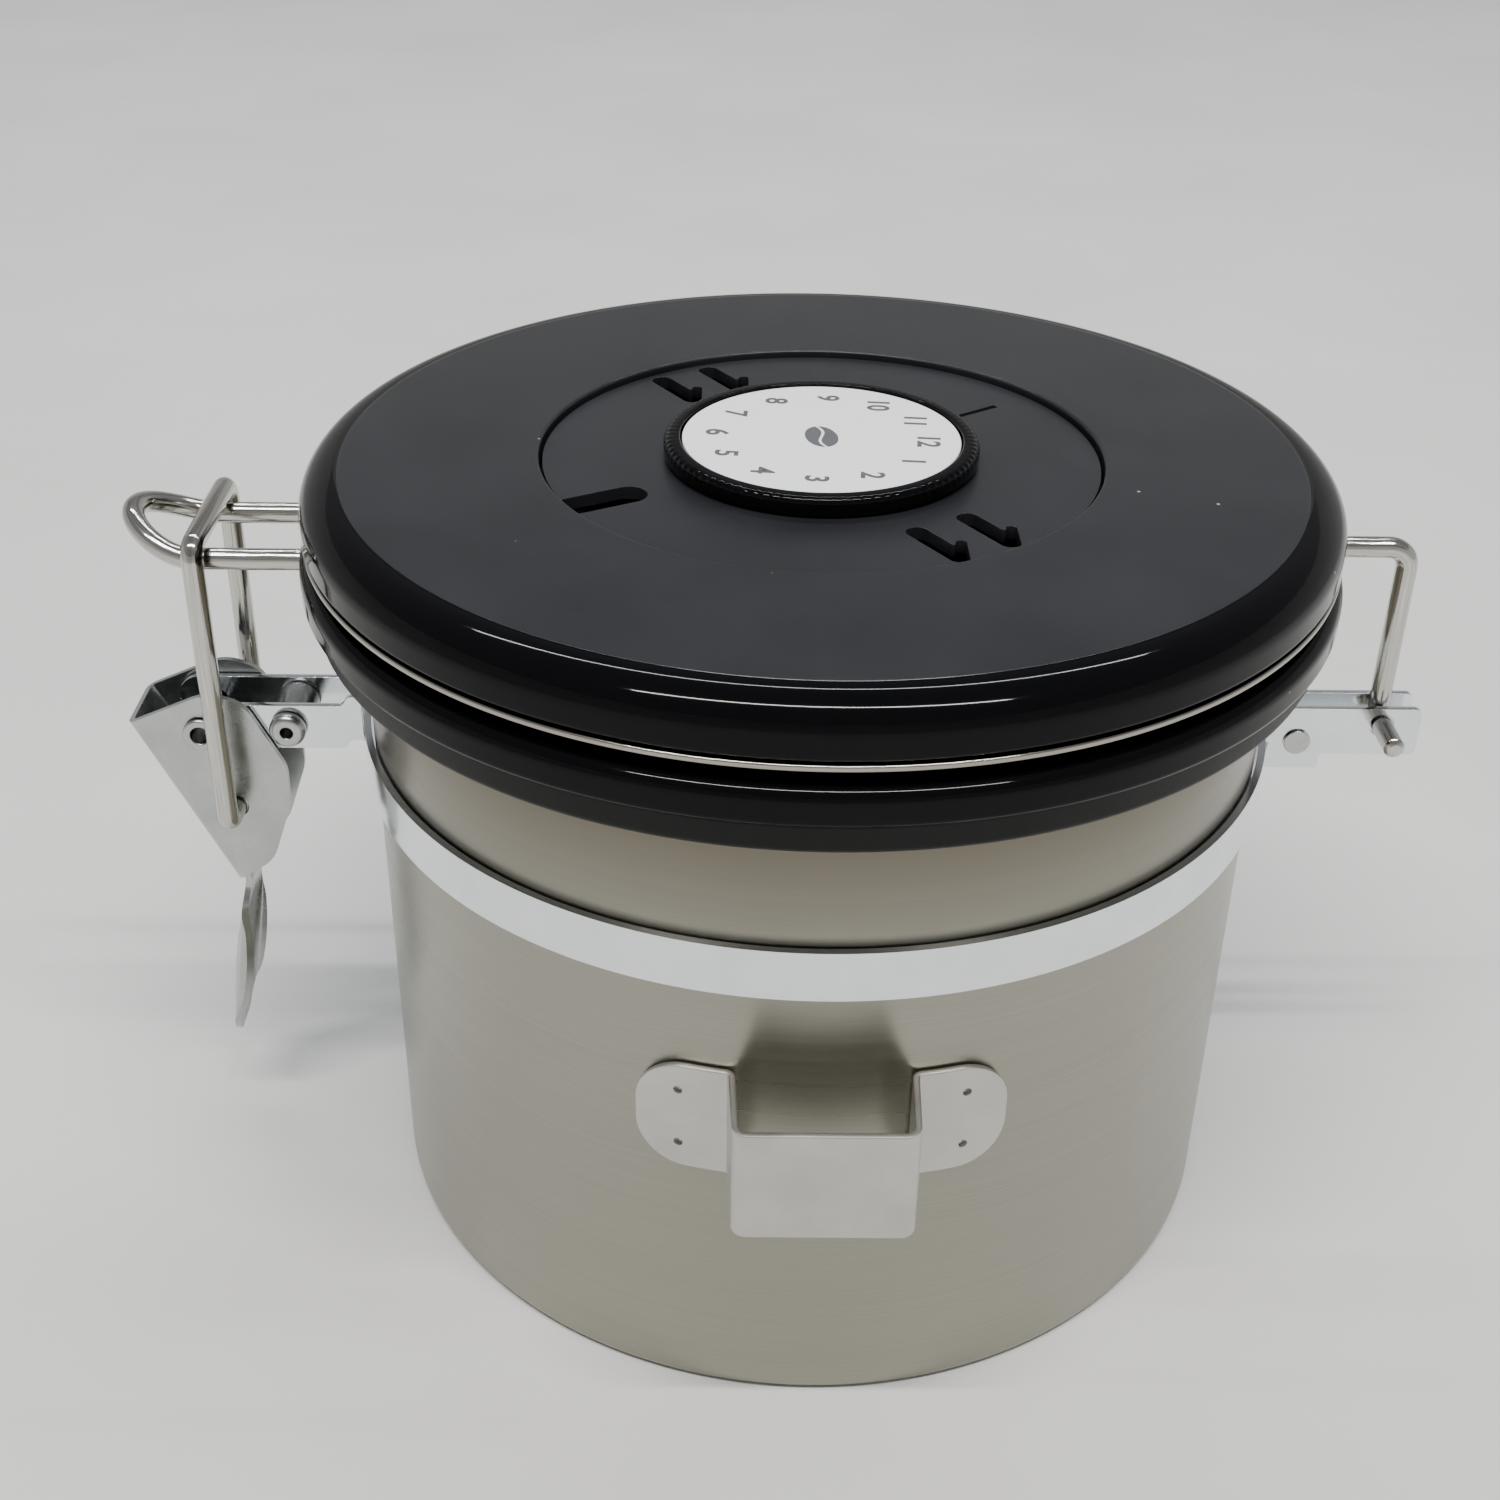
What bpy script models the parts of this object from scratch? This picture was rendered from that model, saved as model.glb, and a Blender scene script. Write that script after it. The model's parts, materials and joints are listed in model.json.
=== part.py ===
"""Food canister with a clamp lid, a wire-bail lever latch, a date dial and a one-way gas valve.

Metres, +Z up.  The origin is the centre of the underside, which stands on Z = 0.
The latch is on -X, the lid's wire hinge on +X and the scoop bracket on -Y.
"""
import math

import bpy
import bmesh
from mathutils import Matrix, Vector

# ---------------------------------------------------------------- driving dimensions
TOUCH = 0.0003             # gap left between pieces that touch
RUN = 0.0003               # clearance round a piece that turns or slides
SEGMENTS = 40              # facets round a large turned piece
SMALL_SEGMENTS = 14        # facets round a rivet or a hole in a strap
HOLE_SEGMENTS = 8          # facets round the smallest holes
OVERRUN = 0.001            # a cutter runs this far past what it cuts

BODY_RADIUS = 0.0625
RIM_HEIGHT = 0.0942        # top of the can's rolled rim
WALL = 0.0008
RIM_FLARE = 0.0021         # how far the rolled rim stands out from the wall
RIM_ROLL_HEIGHT = 0.0026
FOOT_FLANGE = 0.0075       # width of the flange that the wall turns in under the can
FOOT_FILLET = 0.0015
BASE_INSET = 0.0130        # the base's flat from the can's wall
BASE_STEP = 0.0010         # run of the step between the base's flat and its rim

WIRE_RADIUS = 0.0015

GASKET_OVERHANG = 0.0060   # its edge beyond the can's wall
GASKET_SKIRT = 0.0018      # how far its outer lip hangs below the rim
GASKET_WEB = 0.0019        # rubber between the rim and the ring above
GASKET_INNER_LIP = 0.0019
GASKET_LIP_WIDTH = 0.0019
PLUG_CLEARANCE = 0.0023    # inner lip to can wall, so the lid can swing in on its hinge

RING_OVERHANG = 0.0017     # the ring's edge beyond the gasket's
RING_PLATE = 0.0016
RING_WALL = 0.0036
SPIGOT_WALL = 0.0024       # wall of the collar that the gasket is stretched round
SPIGOT_REACH = 0.0020      # how far it reaches below the rim
RING_TOP_ROUND = 0.0019
RING_FOOT_ROUND = 0.0009
COLLAR_INSET = 0.0042      # raised collar that carries the steel pan, from the ring's edge
COLLAR_HEIGHT = 0.0015
COLLAR_WIDTH = 0.0060

PAN_INSET = 0.0008         # the pan's edge from the ring's
PAN_THICKNESS = 0.0008
PAN_LIP = 0.0013
PAN_BORE = 0.0120

COVER_HEIGHT = 0.0070
COVER_EDGE_RUN = 0.0051    # how far the rolled edge falls outward from the flat top
COVER_EDGE_DROP = 0.0045
COVER_PLATE = 0.0024
COVER_SKIRT = 0.0026
COVER_FOOT_CHAMFER = 0.0006
COVER_HUB_WALL = 0.0026    # the ring that carries the ledge below the cover
LEDGE_THICKNESS = 0.0016
LEDGE_WIDTH = 0.0034

VENT_DISC_RADIUS = 0.0374
VENT_DISC_THICKNESS = 0.0017
VENT_DISC_RECESS = 0.0009  # its top lies this far below the cover's
VENT_SLOT_LENGTH = 0.0110
VENT_SLOT_WIDTH = 0.0029
VENT_HOOK_LENGTH = 0.0052  # the narrow leg that turns back from a slot's end, towards +Y
VENT_HOOK_WIDTH = 0.0014
VENT_SLOT_CENTRE = 0.0307  # radius of the slot pairs' centre
VENT_SLOT_SPREAD = 0.0080  # between the two slots of a pair
VENT_SLOT_AZIMUTH = math.radians(-57.0)
FINGER_SLOT_AZIMUTH = math.radians(-151.0)
FINGER_SLOT_LENGTH = 0.0110
FINGER_SLOT_WIDTH = 0.0050

KNOB_RADIUS = 0.0213
KNOB_HEIGHT = 0.0025
KNOB_RIM = 0.0023
DIAL_THICKNESS = 0.0006
DIAL_SUNK = 0.0003         # dial face below the knob's rim
KNOB_SHAFT_RADIUS = 0.0045
KNOB_SHAFT_END = 0.0010    # what is left of the shaft below the clip's groove
CLIP_THICKNESS = 0.0006
CLIP_RADIUS = 0.0072
CLIP_GROOVE = 0.0013

VALVE_BORE = 0.0092        # hole in the lower ring's plate
VALVE_FLANGE_RADIUS = 0.0130
VALVE_FLANGE = 0.0016
VALVE_COLLAR_RISE = 0.0008 # collar above the ring's plate
VALVE_WALL = 0.0017
VALVE_SEAT = 0.0023
VALVE_LIFT = 0.0008
VALVE_FLAP = 0.0006
VALVE_STEM_RADIUS = 0.0010
VALVE_HOLES = 6
VALVE_HOLE_RADIUS = 0.0011
VALVE_BULB = 0.0011        # height of the flap's retaining bulb
GUARD_THICKNESS = 0.0006
GUARD_BORE = 0.0030
GRILLE_WALL = 0.0009
GRILLE_HOLE_RADIUS = 0.0016
GRILLE_HOLES = ((0.0042, 5), (0.0088, 9))  # radius of each circle of holes, and their number
FILTER_THICKNESS = 0.0008

SCREWS = 4
SCREW_SEGMENTS = 12
SCREW_INSET = 0.0092       # the screws' circle from the spigot's outside
SCREW_RADIUS = 0.0014
SCREW_HEAD_RADIUS = 0.0030
SCREW_HEAD = 0.0018
SCREW_REACH = 0.0040       # thread inside the cover's boss
BOSS_WALL = 0.0023

STRAP_DROP = 0.0259        # lower edge of the neck strap below the rim
STRAP_HEIGHT = 0.0070
STRAP_THICKNESS = 0.0010
STRAP_BEND = 0.0024
EAR_ROOT = 0.0010          # run over which a strap widens or narrows to its ears

# The latch and the hinge are placed out from the can's wall and up from the strap's lower edge.
LATCH_EAR_GAP = 0.0074     # between the two latch ears
LATCH_EAR_OUT = 0.0300
LATCH_EAR_UP = -0.0014
LATCH_EAR_HEIGHT = 0.0069
LATCH_CLAMP_OUT = 0.0125

HINGE_EAR_GAP = 0.0037
HINGE_EAR_OUT = 0.0252
HINGE_EAR_UP = -0.0019
HINGE_EAR_HEIGHT = 0.0075
HINGE_EAR_ROUND = 0.0010
HINGE_ROOT_OUT = 0.0113    # the ears' root is deeper as far as this
HINGE_ROOT_UP = -0.0043
HINGE_CLAMP_OUT = 0.0077
HINGE_CLAMP_UP = 0.0002
HINGE_OUT = 0.0196         # the lid's hinge axis, along Y
HINGE_UP = 0.0030
HINGE_FOOT_REACH = 0.0098  # the wire's foot ends this far out along -Y

PIVOT_OUT = 0.0248         # the lever's pivot axis, along Y
PIVOT_UP = 0.0016
PIVOT_RADIUS = 0.0016
PIVOT_BORE = 0.0009
RIVET_HEAD_RADIUS = 0.0025
RIVET_HEAD = 0.0008
CLAMP_RADIUS = 0.0016
CLAMP_HEAD_RADIUS = 0.0026
CLAMP_HEAD = 0.0016
HINGE_CLAMP_HEAD_RADIUS = 0.0021
SPACER_RADIUS = 0.0030

LEVER_SHEET = 0.0009
LEVER_CLEARANCE = 0.0003   # cheek to ear, on each side
TAB_WIDTH = 0.0144
TAB_NECK = 0.0068
TAB_LENGTH = 0.0313
TAB_TILT = math.radians(9.6)
BAIL_PIVOT_DX = 0.0036     # bail pivot from the lever pivot, lever closed
BAIL_PIVOT_DZ = -0.0123
BAIL_LEG_CLEARANCE = 0.0003
BAIL_FOOT_GRIP = 0.0013    # how far each foot passes the inside of its cheek
BAIL_SLACK = 0.00035       # left over once the lever passes its dead centre
BAIL_BAR_DX = 0.0002       # the bar stands this far nearer the can than the bail's pivot

ARM_SPREAD = 0.0075        # each hook arm from the centre plane
ARM_OUT = 0.0223           # where the arms end and the nose begins, from the can's wall
NOSE_REACH = 0.0087
NOSE_RISE = 0.0040
WIRE_INSET = 0.0046        # the wires' run inside the ring, from the channel's outer wall

BRACKET_DROP = 0.0285      # its lower edge below the strap's
BRACKET_HEIGHT = 0.0163
BRACKET_SHEET = 0.0009
BRACKET_POCKET_WIDTH = 0.0226
BRACKET_DEPTH = 0.0113     # front face from the can's wall
BRACKET_HALF_SPAN = 0.0232
BRACKET_BEND = 0.0016
WELD_RADIUS = 0.0008
WELD_DEPTH = 0.00025
WELD_SPACING = 0.0085
WELD_X = 0.0178

END_ROUND = 0.45           # rounding of a strip's end, as a share of its height
MERGE = 0.00001            # merging distance of welded points

# ---------------------------------------------------------------- worked-out radii and reaches
INNER_RADIUS = BODY_RADIUS - WALL
BASE_FLAT_RADIUS = BODY_RADIUS - BASE_INSET
GASKET_RADIUS = BODY_RADIUS + GASKET_OVERHANG
RING_RADIUS = GASKET_RADIUS + RING_OVERHANG
SPIGOT_RADIUS = INNER_RADIUS - PLUG_CLEARANCE - GASKET_LIP_WIDTH - TOUCH
COLLAR_RADIUS = RING_RADIUS - COLLAR_INSET
PAN_RADIUS = RING_RADIUS - PAN_INSET
SCREW_CIRCLE = SPIGOT_RADIUS - SCREW_INSET
WIRE_CIRCLE = RING_RADIUS - RING_WALL - WIRE_INSET
LATCH_EAR_REACH = BODY_RADIUS + LATCH_EAR_OUT
LATCH_CLAMP_X = BODY_RADIUS + LATCH_CLAMP_OUT
HINGE_EAR_REACH = BODY_RADIUS + HINGE_EAR_OUT
HINGE_ROOT_REACH = BODY_RADIUS + HINGE_ROOT_OUT
HINGE_CLAMP_X = BODY_RADIUS + HINGE_CLAMP_OUT
HINGE_X = BODY_RADIUS + HINGE_OUT
PIVOT_X = -BODY_RADIUS - PIVOT_OUT
ARM_REACH = BODY_RADIUS + ARM_OUT

# ---------------------------------------------------------------- worked-out heights
STRAP_LOW = RIM_HEIGHT - STRAP_DROP
LATCH_EAR_LOW = STRAP_LOW + LATCH_EAR_UP
HINGE_EAR_LOW = STRAP_LOW + HINGE_EAR_UP
HINGE_ROOT_LOW = STRAP_LOW + HINGE_ROOT_UP
HINGE_CLAMP_Z = STRAP_LOW + HINGE_CLAMP_UP
HINGE_Z = STRAP_LOW + HINGE_UP
PIVOT_Z = STRAP_LOW + PIVOT_UP
BRACKET_LOW = STRAP_LOW - BRACKET_DROP
WIRE_DIAMETER = 2 * WIRE_RADIUS
GASKET_GROOVE = RIM_HEIGHT + TOUCH
GASKET_TOP = GASKET_GROOVE + GASKET_WEB
RING_LOW = GASKET_TOP + TOUCH
WIRE_Z = RING_LOW + WIRE_RADIUS
RING_PLATE_LOW = RING_LOW + WIRE_DIAMETER + TOUCH
RING_TOP = RING_PLATE_LOW + RING_PLATE
PAN_LOW = RING_TOP + COLLAR_HEIGHT + TOUCH
PAN_TOP = PAN_LOW + PAN_THICKNESS
COVER_LOW = PAN_LOW + PAN_LIP + TOUCH
COVER_TOP = COVER_LOW + COVER_HEIGHT
COVER_UNDER = COVER_TOP - COVER_PLATE
COVER_FLAT_RADIUS = PAN_RADIUS - COVER_EDGE_RUN
DISC_TOP = COVER_TOP - VENT_DISC_RECESS
DISC_LOW = DISC_TOP - VENT_DISC_THICKNESS
LEDGE_TOP = DISC_LOW - TOUCH
KNOB_LOW = DISC_TOP + TOUCH
KNOB_TOP = KNOB_LOW + KNOB_HEIGHT
DIAL_TOP = KNOB_TOP - DIAL_SUNK
DIAL_LOW = DIAL_TOP - DIAL_THICKNESS
KNOB_FLOOR = DIAL_LOW - TOUCH
DIAL_RADIUS = KNOB_RADIUS - KNOB_RIM - TOUCH

STRAP_RADIUS = BODY_RADIUS + TOUCH + STRAP_THICKNESS / 2
STRAP_HIGH = STRAP_LOW + STRAP_HEIGHT
LATCH_EAR_Y = (LATCH_EAR_GAP + STRAP_THICKNESS) / 2
HINGE_EAR_Y = (HINGE_EAR_GAP + STRAP_THICKNESS) / 2
LATCH_EAR_FACE = LATCH_EAR_GAP / 2 + STRAP_THICKNESS
HINGE_EAR_FACE = HINGE_EAR_GAP / 2 + STRAP_THICKNESS
CHEEK_INNER = LATCH_EAR_FACE + LEVER_CLEARANCE
CHEEK_OUTER = CHEEK_INNER + LEVER_SHEET
BAIL_FOOT_END = CHEEK_INNER - BAIL_FOOT_GRIP

BAIL_X = PIVOT_X + BAIL_PIVOT_DX
BAIL_Z = PIVOT_Z + BAIL_PIVOT_DZ
# The bar dips as the lever passes its dead centre, so it rests this far above the arms.
BAIL_DIP = math.hypot(BAIL_PIVOT_DX, BAIL_PIVOT_DZ) + BAIL_PIVOT_DZ
BAR_X = BAIL_X + BAIL_BAR_DX
BAR_Z = WIRE_Z + WIRE_DIAMETER + BAIL_DIP + BAIL_SLACK
BAIL_LEG_Y = ARM_SPREAD + WIRE_DIAMETER + BAIL_LEG_CLEARANCE

# ---------------------------------------------------------------- finishes
FINISHES = {                # colour, metallic, roughness
    "brushed_steel": ((0.56, 0.54, 0.50), 1.0, 0.34),
    "bright_steel": ((0.76, 0.78, 0.80), 1.0, 0.14),
    "zinc_steel": ((0.66, 0.69, 0.72), 1.0, 0.28),
    "gloss_black": ((0.012, 0.012, 0.014), 0.0, 0.10),
    "satin_black": ((0.030, 0.030, 0.034), 0.0, 0.38),
    "black_rubber": ((0.018, 0.018, 0.018), 0.0, 0.70),
    "white_plastic": ((0.84, 0.85, 0.86), 0.0, 0.35),
    "clear_silicone": ((0.72, 0.73, 0.72), 0.0, 0.45),
    "filter_felt": ((0.78, 0.76, 0.70), 0.0, 0.95),
}


# ---------------------------------------------------------------- scene helpers
def clear_scene():
    for obj in list(bpy.data.objects):
        bpy.data.objects.remove(obj, do_unlink=True)


def new_collection(name):
    collection = bpy.data.collections.new(name)
    bpy.context.scene.collection.children.link(collection)
    return collection


def make_material(name, finish):
    colour, metallic, roughness = FINISHES[finish]
    material = bpy.data.materials.new(name)
    material.use_nodes = True
    shader = material.node_tree.nodes["Principled BSDF"]
    shader.inputs["Base Color"].default_value = (*colour, 1.0)
    shader.inputs["Metallic"].default_value = metallic
    shader.inputs["Roughness"].default_value = roughness
    return material


def as_part(obj, finish):
    """Keep an object as a sub-part with a material of its own."""
    PARTS.objects.link(obj)
    obj.data.materials.append(make_material(obj.name, finish))
    return obj


def as_cutter(obj):
    """Keep an object only as the operand of a Boolean."""
    CUTTERS.objects.link(obj)
    obj.hide_render = True
    obj.display_type = "WIRE"
    return obj


def combine(target, operand, operation="DIFFERENCE"):
    modifier = target.modifiers.new(operand.name, "BOOLEAN")
    modifier.operation = operation
    modifier.solver = "EXACT"
    modifier.object = as_cutter(operand)


# ---------------------------------------------------------------- shape helpers
def rounded(corners, closed=False, step=math.radians(18)):
    """Points of a polyline whose corners, given as (point, radius), become arcs."""
    points = []
    count = len(corners)
    for index, (corner, radius) in enumerate(corners):
        corner = Vector(corner)
        at_end = not closed and index in (0, count - 1)
        if at_end or radius == 0:
            points.append(corner)
            continue
        before = (Vector(corners[index - 1][0]) - corner).normalized()
        after = (Vector(corners[(index + 1) % count][0]) - corner).normalized()
        opening = before.angle(after)
        turn = math.pi - opening
        centre = corner + (before + after).normalized() * radius / math.sin(opening / 2)
        reach = radius / math.tan(opening / 2)
        first = corner + before * reach - centre
        last = corner + after * reach - centre
        steps = max(2, math.ceil(turn / step))
        for number in range(steps + 1):
            part = number / steps
            swing = math.sin((1 - part) * turn) * first + math.sin(part * turn) * last
            points.append(centre + swing / math.sin(turn))
    return points


def arc(radius, start, end, step=math.radians(6)):
    """Points on a circle about the origin, both ends included."""
    steps = max(2, math.ceil(abs(end - start) / step))
    angles = [start + (end - start) * number / steps for number in range(steps + 1)]
    return [(radius * math.cos(angle), radius * math.sin(angle)) for angle in angles]


def strip_outline(path, thickness):
    """Outline of a bent strip: the path moved half a thickness to each side."""
    left = []
    right = []
    for index, point in enumerate(path):
        before = path[max(index - 1, 0)]
        after = path[min(index + 1, len(path) - 1)]
        ahead = (after - before).normalized()
        across = Vector((-ahead.y, ahead.x))
        if 0 < index < len(path) - 1:
            half_turn = (point - before).angle(after - point) / 2
            across = across / math.cos(half_turn)
        left.append(point + across * thickness / 2)
        right.append(point - across * thickness / 2)
    return left + right[::-1]


def turned(name, profile, closed=True, segments=SEGMENTS, matrix=None):
    """Turn (radius, height) points about Z; the profile runs down its outer side."""
    count = len(profile)
    edges = [(index, index + 1) for index in range(count - 1)]
    if closed:
        edges.append((count - 1, 0))
    mesh = bpy.data.meshes.new(name)
    mesh.from_pydata([(radius, 0.0, height) for radius, height in profile], edges, [])
    obj = bpy.data.objects.new(name, mesh)
    obj.matrix_world = matrix or Matrix()
    screw = obj.modifiers.new("Turn", "SCREW")
    screw.axis = "Z"
    screw.angle = 2 * math.pi
    screw.steps = segments
    screw.render_steps = segments
    screw.use_merge_vertices = True
    screw.merge_threshold = MERGE
    screw.use_smooth_shade = True
    return obj


def solid_from_curve(obj):
    """Turn a curve object into a closed mesh object in the same place."""
    bpy.context.scene.collection.objects.link(obj)
    bpy.context.view_layer.update()
    evaluated = obj.evaluated_get(bpy.context.evaluated_depsgraph_get())
    mesh = bpy.data.meshes.new_from_object(evaluated)
    work = bmesh.new()
    work.from_mesh(mesh)
    bmesh.ops.remove_doubles(work, verts=work.verts, dist=MERGE)
    bmesh.ops.recalc_face_normals(work, faces=work.faces)
    work.to_mesh(mesh)
    work.free()
    name = obj.name
    matrix = obj.matrix_world.copy()
    bpy.data.objects.remove(obj, do_unlink=True)
    solid = bpy.data.objects.new(name, mesh)
    solid.matrix_world = matrix
    return solid


def plate(name, outline, thickness, matrix):
    """Flat plate with this outline, half its thickness on each side of its plane."""
    curve = bpy.data.curves.new(name, "CURVE")
    curve.dimensions = "2D"
    curve.fill_mode = "BOTH"
    curve.extrude = thickness / 2
    spline = curve.splines.new("POLY")
    spline.points.add(len(outline) - 1)
    for place, (across, up) in zip(spline.points, outline):
        place.co = (across, up, 0.0, 1.0)
    spline.use_cyclic_u = True
    obj = bpy.data.objects.new(name, curve)
    obj.matrix_world = matrix
    return solid_from_curve(obj)


def side_plate(name, outline, thickness, across=0.0):
    """Plate whose outline is given in X and Z, centred on the plane Y = across."""
    turn = Matrix.Rotation(math.radians(90), 4, "X")
    return plate(name, outline, thickness, Matrix.Translation((0, across, 0)) @ turn)


def level_plate(name, outline, low, high):
    """Plate whose outline is given in X and Y, between two heights."""
    middle = Matrix.Translation((0, 0, (low + high) / 2))
    return plate(name, outline, high - low, middle)


def rod(name, radius, start, end, segments=SMALL_SEGMENTS):
    """Cylinder between two points."""
    start = Vector(start)
    end = Vector(end)
    work = bmesh.new()
    length = (end - start).length
    bmesh.ops.create_cone(work, cap_ends=True, segments=segments, radius1=radius,
                          radius2=radius, depth=length)
    mesh = bpy.data.meshes.new(name)
    work.to_mesh(mesh)
    work.free()
    obj = bpy.data.objects.new(name, mesh)
    turn = (end - start).to_track_quat("Z", "Y").to_matrix().to_4x4()
    obj.matrix_world = Matrix.Translation((start + end) / 2) @ turn
    return obj


def cross_rod(name, radius, x, z, half_length):
    """Cylinder along Y, centred on the plane Y = 0."""
    return rod(name, radius, (x, -half_length, z), (x, half_length, z))


def block(name, low, high):
    work = bmesh.new()
    bmesh.ops.create_cube(work, size=1.0)
    size = Vector(high) - Vector(low)
    bmesh.ops.scale(work, vec=size, verts=work.verts)
    mesh = bpy.data.meshes.new(name)
    work.to_mesh(mesh)
    work.free()
    obj = bpy.data.objects.new(name, mesh)
    obj.location = (Vector(low) + Vector(high)) / 2
    return obj


def wire(name, points):
    """Round wire along a polyline, with flat closed ends."""
    curve = bpy.data.curves.new(name, "CURVE")
    curve.dimensions = "3D"
    curve.bevel_depth = WIRE_RADIUS
    curve.bevel_resolution = 2
    curve.use_fill_caps = True
    spline = curve.splines.new("POLY")
    spline.points.add(len(points) - 1)
    for place, point in zip(spline.points, points):
        place.co = (*point, 1.0)
    return bpy.data.objects.new(name, curve)


def across_axis(x, z):
    """Frame whose Z runs along the world's Y through a point of the X-Z plane."""
    return Matrix.Translation((x, 0, z)) @ Matrix.Rotation(math.radians(90), 4, "X")


# ---------------------------------------------------------------- can
def can_shell():
    inner = INNER_RADIUS
    rim = BODY_RADIUS + RIM_FLARE
    roll = RIM_ROLL_HEIGHT / 4
    bead = [((inner, RIM_HEIGHT), roll), ((rim, RIM_HEIGHT), roll),
            ((rim, RIM_HEIGHT - RIM_ROLL_HEIGHT), roll)]
    foot = [((BODY_RADIUS, RIM_HEIGHT - RIM_ROLL_HEIGHT - roll), 0),
            ((BODY_RADIUS, 0), FOOT_FILLET),
            ((BODY_RADIUS - FOOT_FLANGE, 0), 0),
            ((BODY_RADIUS - FOOT_FLANGE, WALL), 0),
            ((inner, WALL), FOOT_FILLET - WALL / 2)]
    profile = rounded(bead + foot, closed=True, step=math.radians(31))
    as_part(turned("can_shell", profile), "brushed_steel")


def can_base():
    """Base pan: flat in the middle, stepped up to rest on the shell's flange."""
    rest = WALL + TOUCH
    step = BASE_FLAT_RADIUS + BASE_STEP
    edge = INNER_RADIUS - FOOT_FILLET - TOUCH
    profile = [(0, WALL), (BASE_FLAT_RADIUS - WALL / 2, WALL), (step - WALL / 2, rest + WALL),
               (edge, rest + WALL), (edge, rest), (step, rest), (BASE_FLAT_RADIUS, 0), (0, 0)]
    as_part(turned("can_base", profile, closed=False), "brushed_steel")


# ---------------------------------------------------------------- neck straps
def ear_outline():
    """Side view of a strap: the band across the can and an ear at each end."""
    near = BODY_RADIUS + TOUCH + STRAP_THICKNESS + STRAP_BEND
    latch_low = LATCH_EAR_LOW
    latch_high = LATCH_EAR_LOW + LATCH_EAR_HEIGHT
    hinge_high = HINGE_EAR_LOW + HINGE_EAR_HEIGHT
    latch_round = LATCH_EAR_HEIGHT * END_ROUND
    corners = [((-near, STRAP_LOW), 0), ((-near - EAR_ROOT, latch_low), 0),
               ((-LATCH_EAR_REACH, latch_low), latch_round),
               ((-LATCH_EAR_REACH, latch_high), latch_round),
               ((-near - EAR_ROOT, latch_high), 0), ((-near, STRAP_HIGH), 0),
               ((near, STRAP_HIGH), 0), ((near + EAR_ROOT, hinge_high), 0),
               ((HINGE_EAR_REACH, hinge_high), HINGE_EAR_ROUND),
               ((HINGE_EAR_REACH, HINGE_EAR_LOW), HINGE_EAR_ROUND),
               ((HINGE_ROOT_REACH, HINGE_EAR_LOW), 0), ((HINGE_ROOT_REACH, HINGE_ROOT_LOW), 0),
               ((near + EAR_ROOT / 2, HINGE_ROOT_LOW), 0), ((near, STRAP_LOW), 0)]
    return rounded(corners, closed=True)


def neck_strap(name, side):
    """Half strap round the neck, side -1 for the front and +1 for the rear."""
    latch_angle = math.pi - math.asin(LATCH_EAR_Y / STRAP_RADIUS)
    hinge_angle = math.asin(HINGE_EAR_Y / STRAP_RADIUS)
    round_the_can = arc(STRAP_RADIUS, latch_angle, hinge_angle)
    corners = [((-LATCH_EAR_REACH - OVERRUN, LATCH_EAR_Y), 0)]
    corners += [(point, 0) for point in round_the_can]
    corners += [((HINGE_EAR_REACH + OVERRUN, HINGE_EAR_Y), 0)]
    for bend in (1, len(corners) - 2):
        corners[bend] = (corners[bend][0], STRAP_BEND)
    path = [Vector((point.x, point.y * side)) for point in rounded(corners)]
    low = min(HINGE_ROOT_LOW, LATCH_EAR_LOW, STRAP_LOW) - OVERRUN
    high = max(STRAP_HIGH, HINGE_EAR_LOW + HINGE_EAR_HEIGHT) + OVERRUN
    strap = level_plate(name, strip_outline(path, STRAP_THICKNESS), low, high)
    depth = 4 * STRAP_RADIUS
    combine(strap, side_plate(name + "_side_view", ear_outline(), depth), "INTERSECT")
    holes = [(PIVOT_X, PIVOT_Z, PIVOT_RADIUS), (HINGE_CLAMP_X, HINGE_CLAMP_Z, CLAMP_RADIUS),
             (-LATCH_CLAMP_X, LATCH_EAR_LOW + LATCH_EAR_HEIGHT / 2, CLAMP_RADIUS)]
    if side < 0:
        holes.append((HINGE_X, HINGE_Z, WIRE_RADIUS))
    for number, (x, z, radius) in enumerate(holes):
        hole = cross_rod(f"{name}_hole_{number}", radius + RUN, x, z, LATCH_EAR_REACH / 2)
        combine(strap, hole)
    as_part(strap, "bright_steel")


def rivet_profile(shank, head, inner_face, head_height, bore):
    """Two-headed rivet about Z, its heads just outside the stack that it holds."""
    seat = inner_face + TOUCH
    top = seat + head_height
    edge = head_height / 3
    outer = [(head - edge, top), (head, top - edge), (head, seat), (shank, seat),
             (shank, -seat), (head, -seat), (head, edge - top), (head - edge, -top)]
    if bore == 0:
        return [(0, top), *outer, (0, -top)], False
    return [(bore, top), *outer, (bore, -top)], True


def rivet(name, x, z, shank, head, inner_face, head_height, bore=0.0):
    profile, closed = rivet_profile(shank, head, inner_face, head_height, bore)
    matrix = across_axis(x, z)
    as_part(turned(name, profile, closed, SMALL_SEGMENTS, matrix), "zinc_steel")


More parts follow.
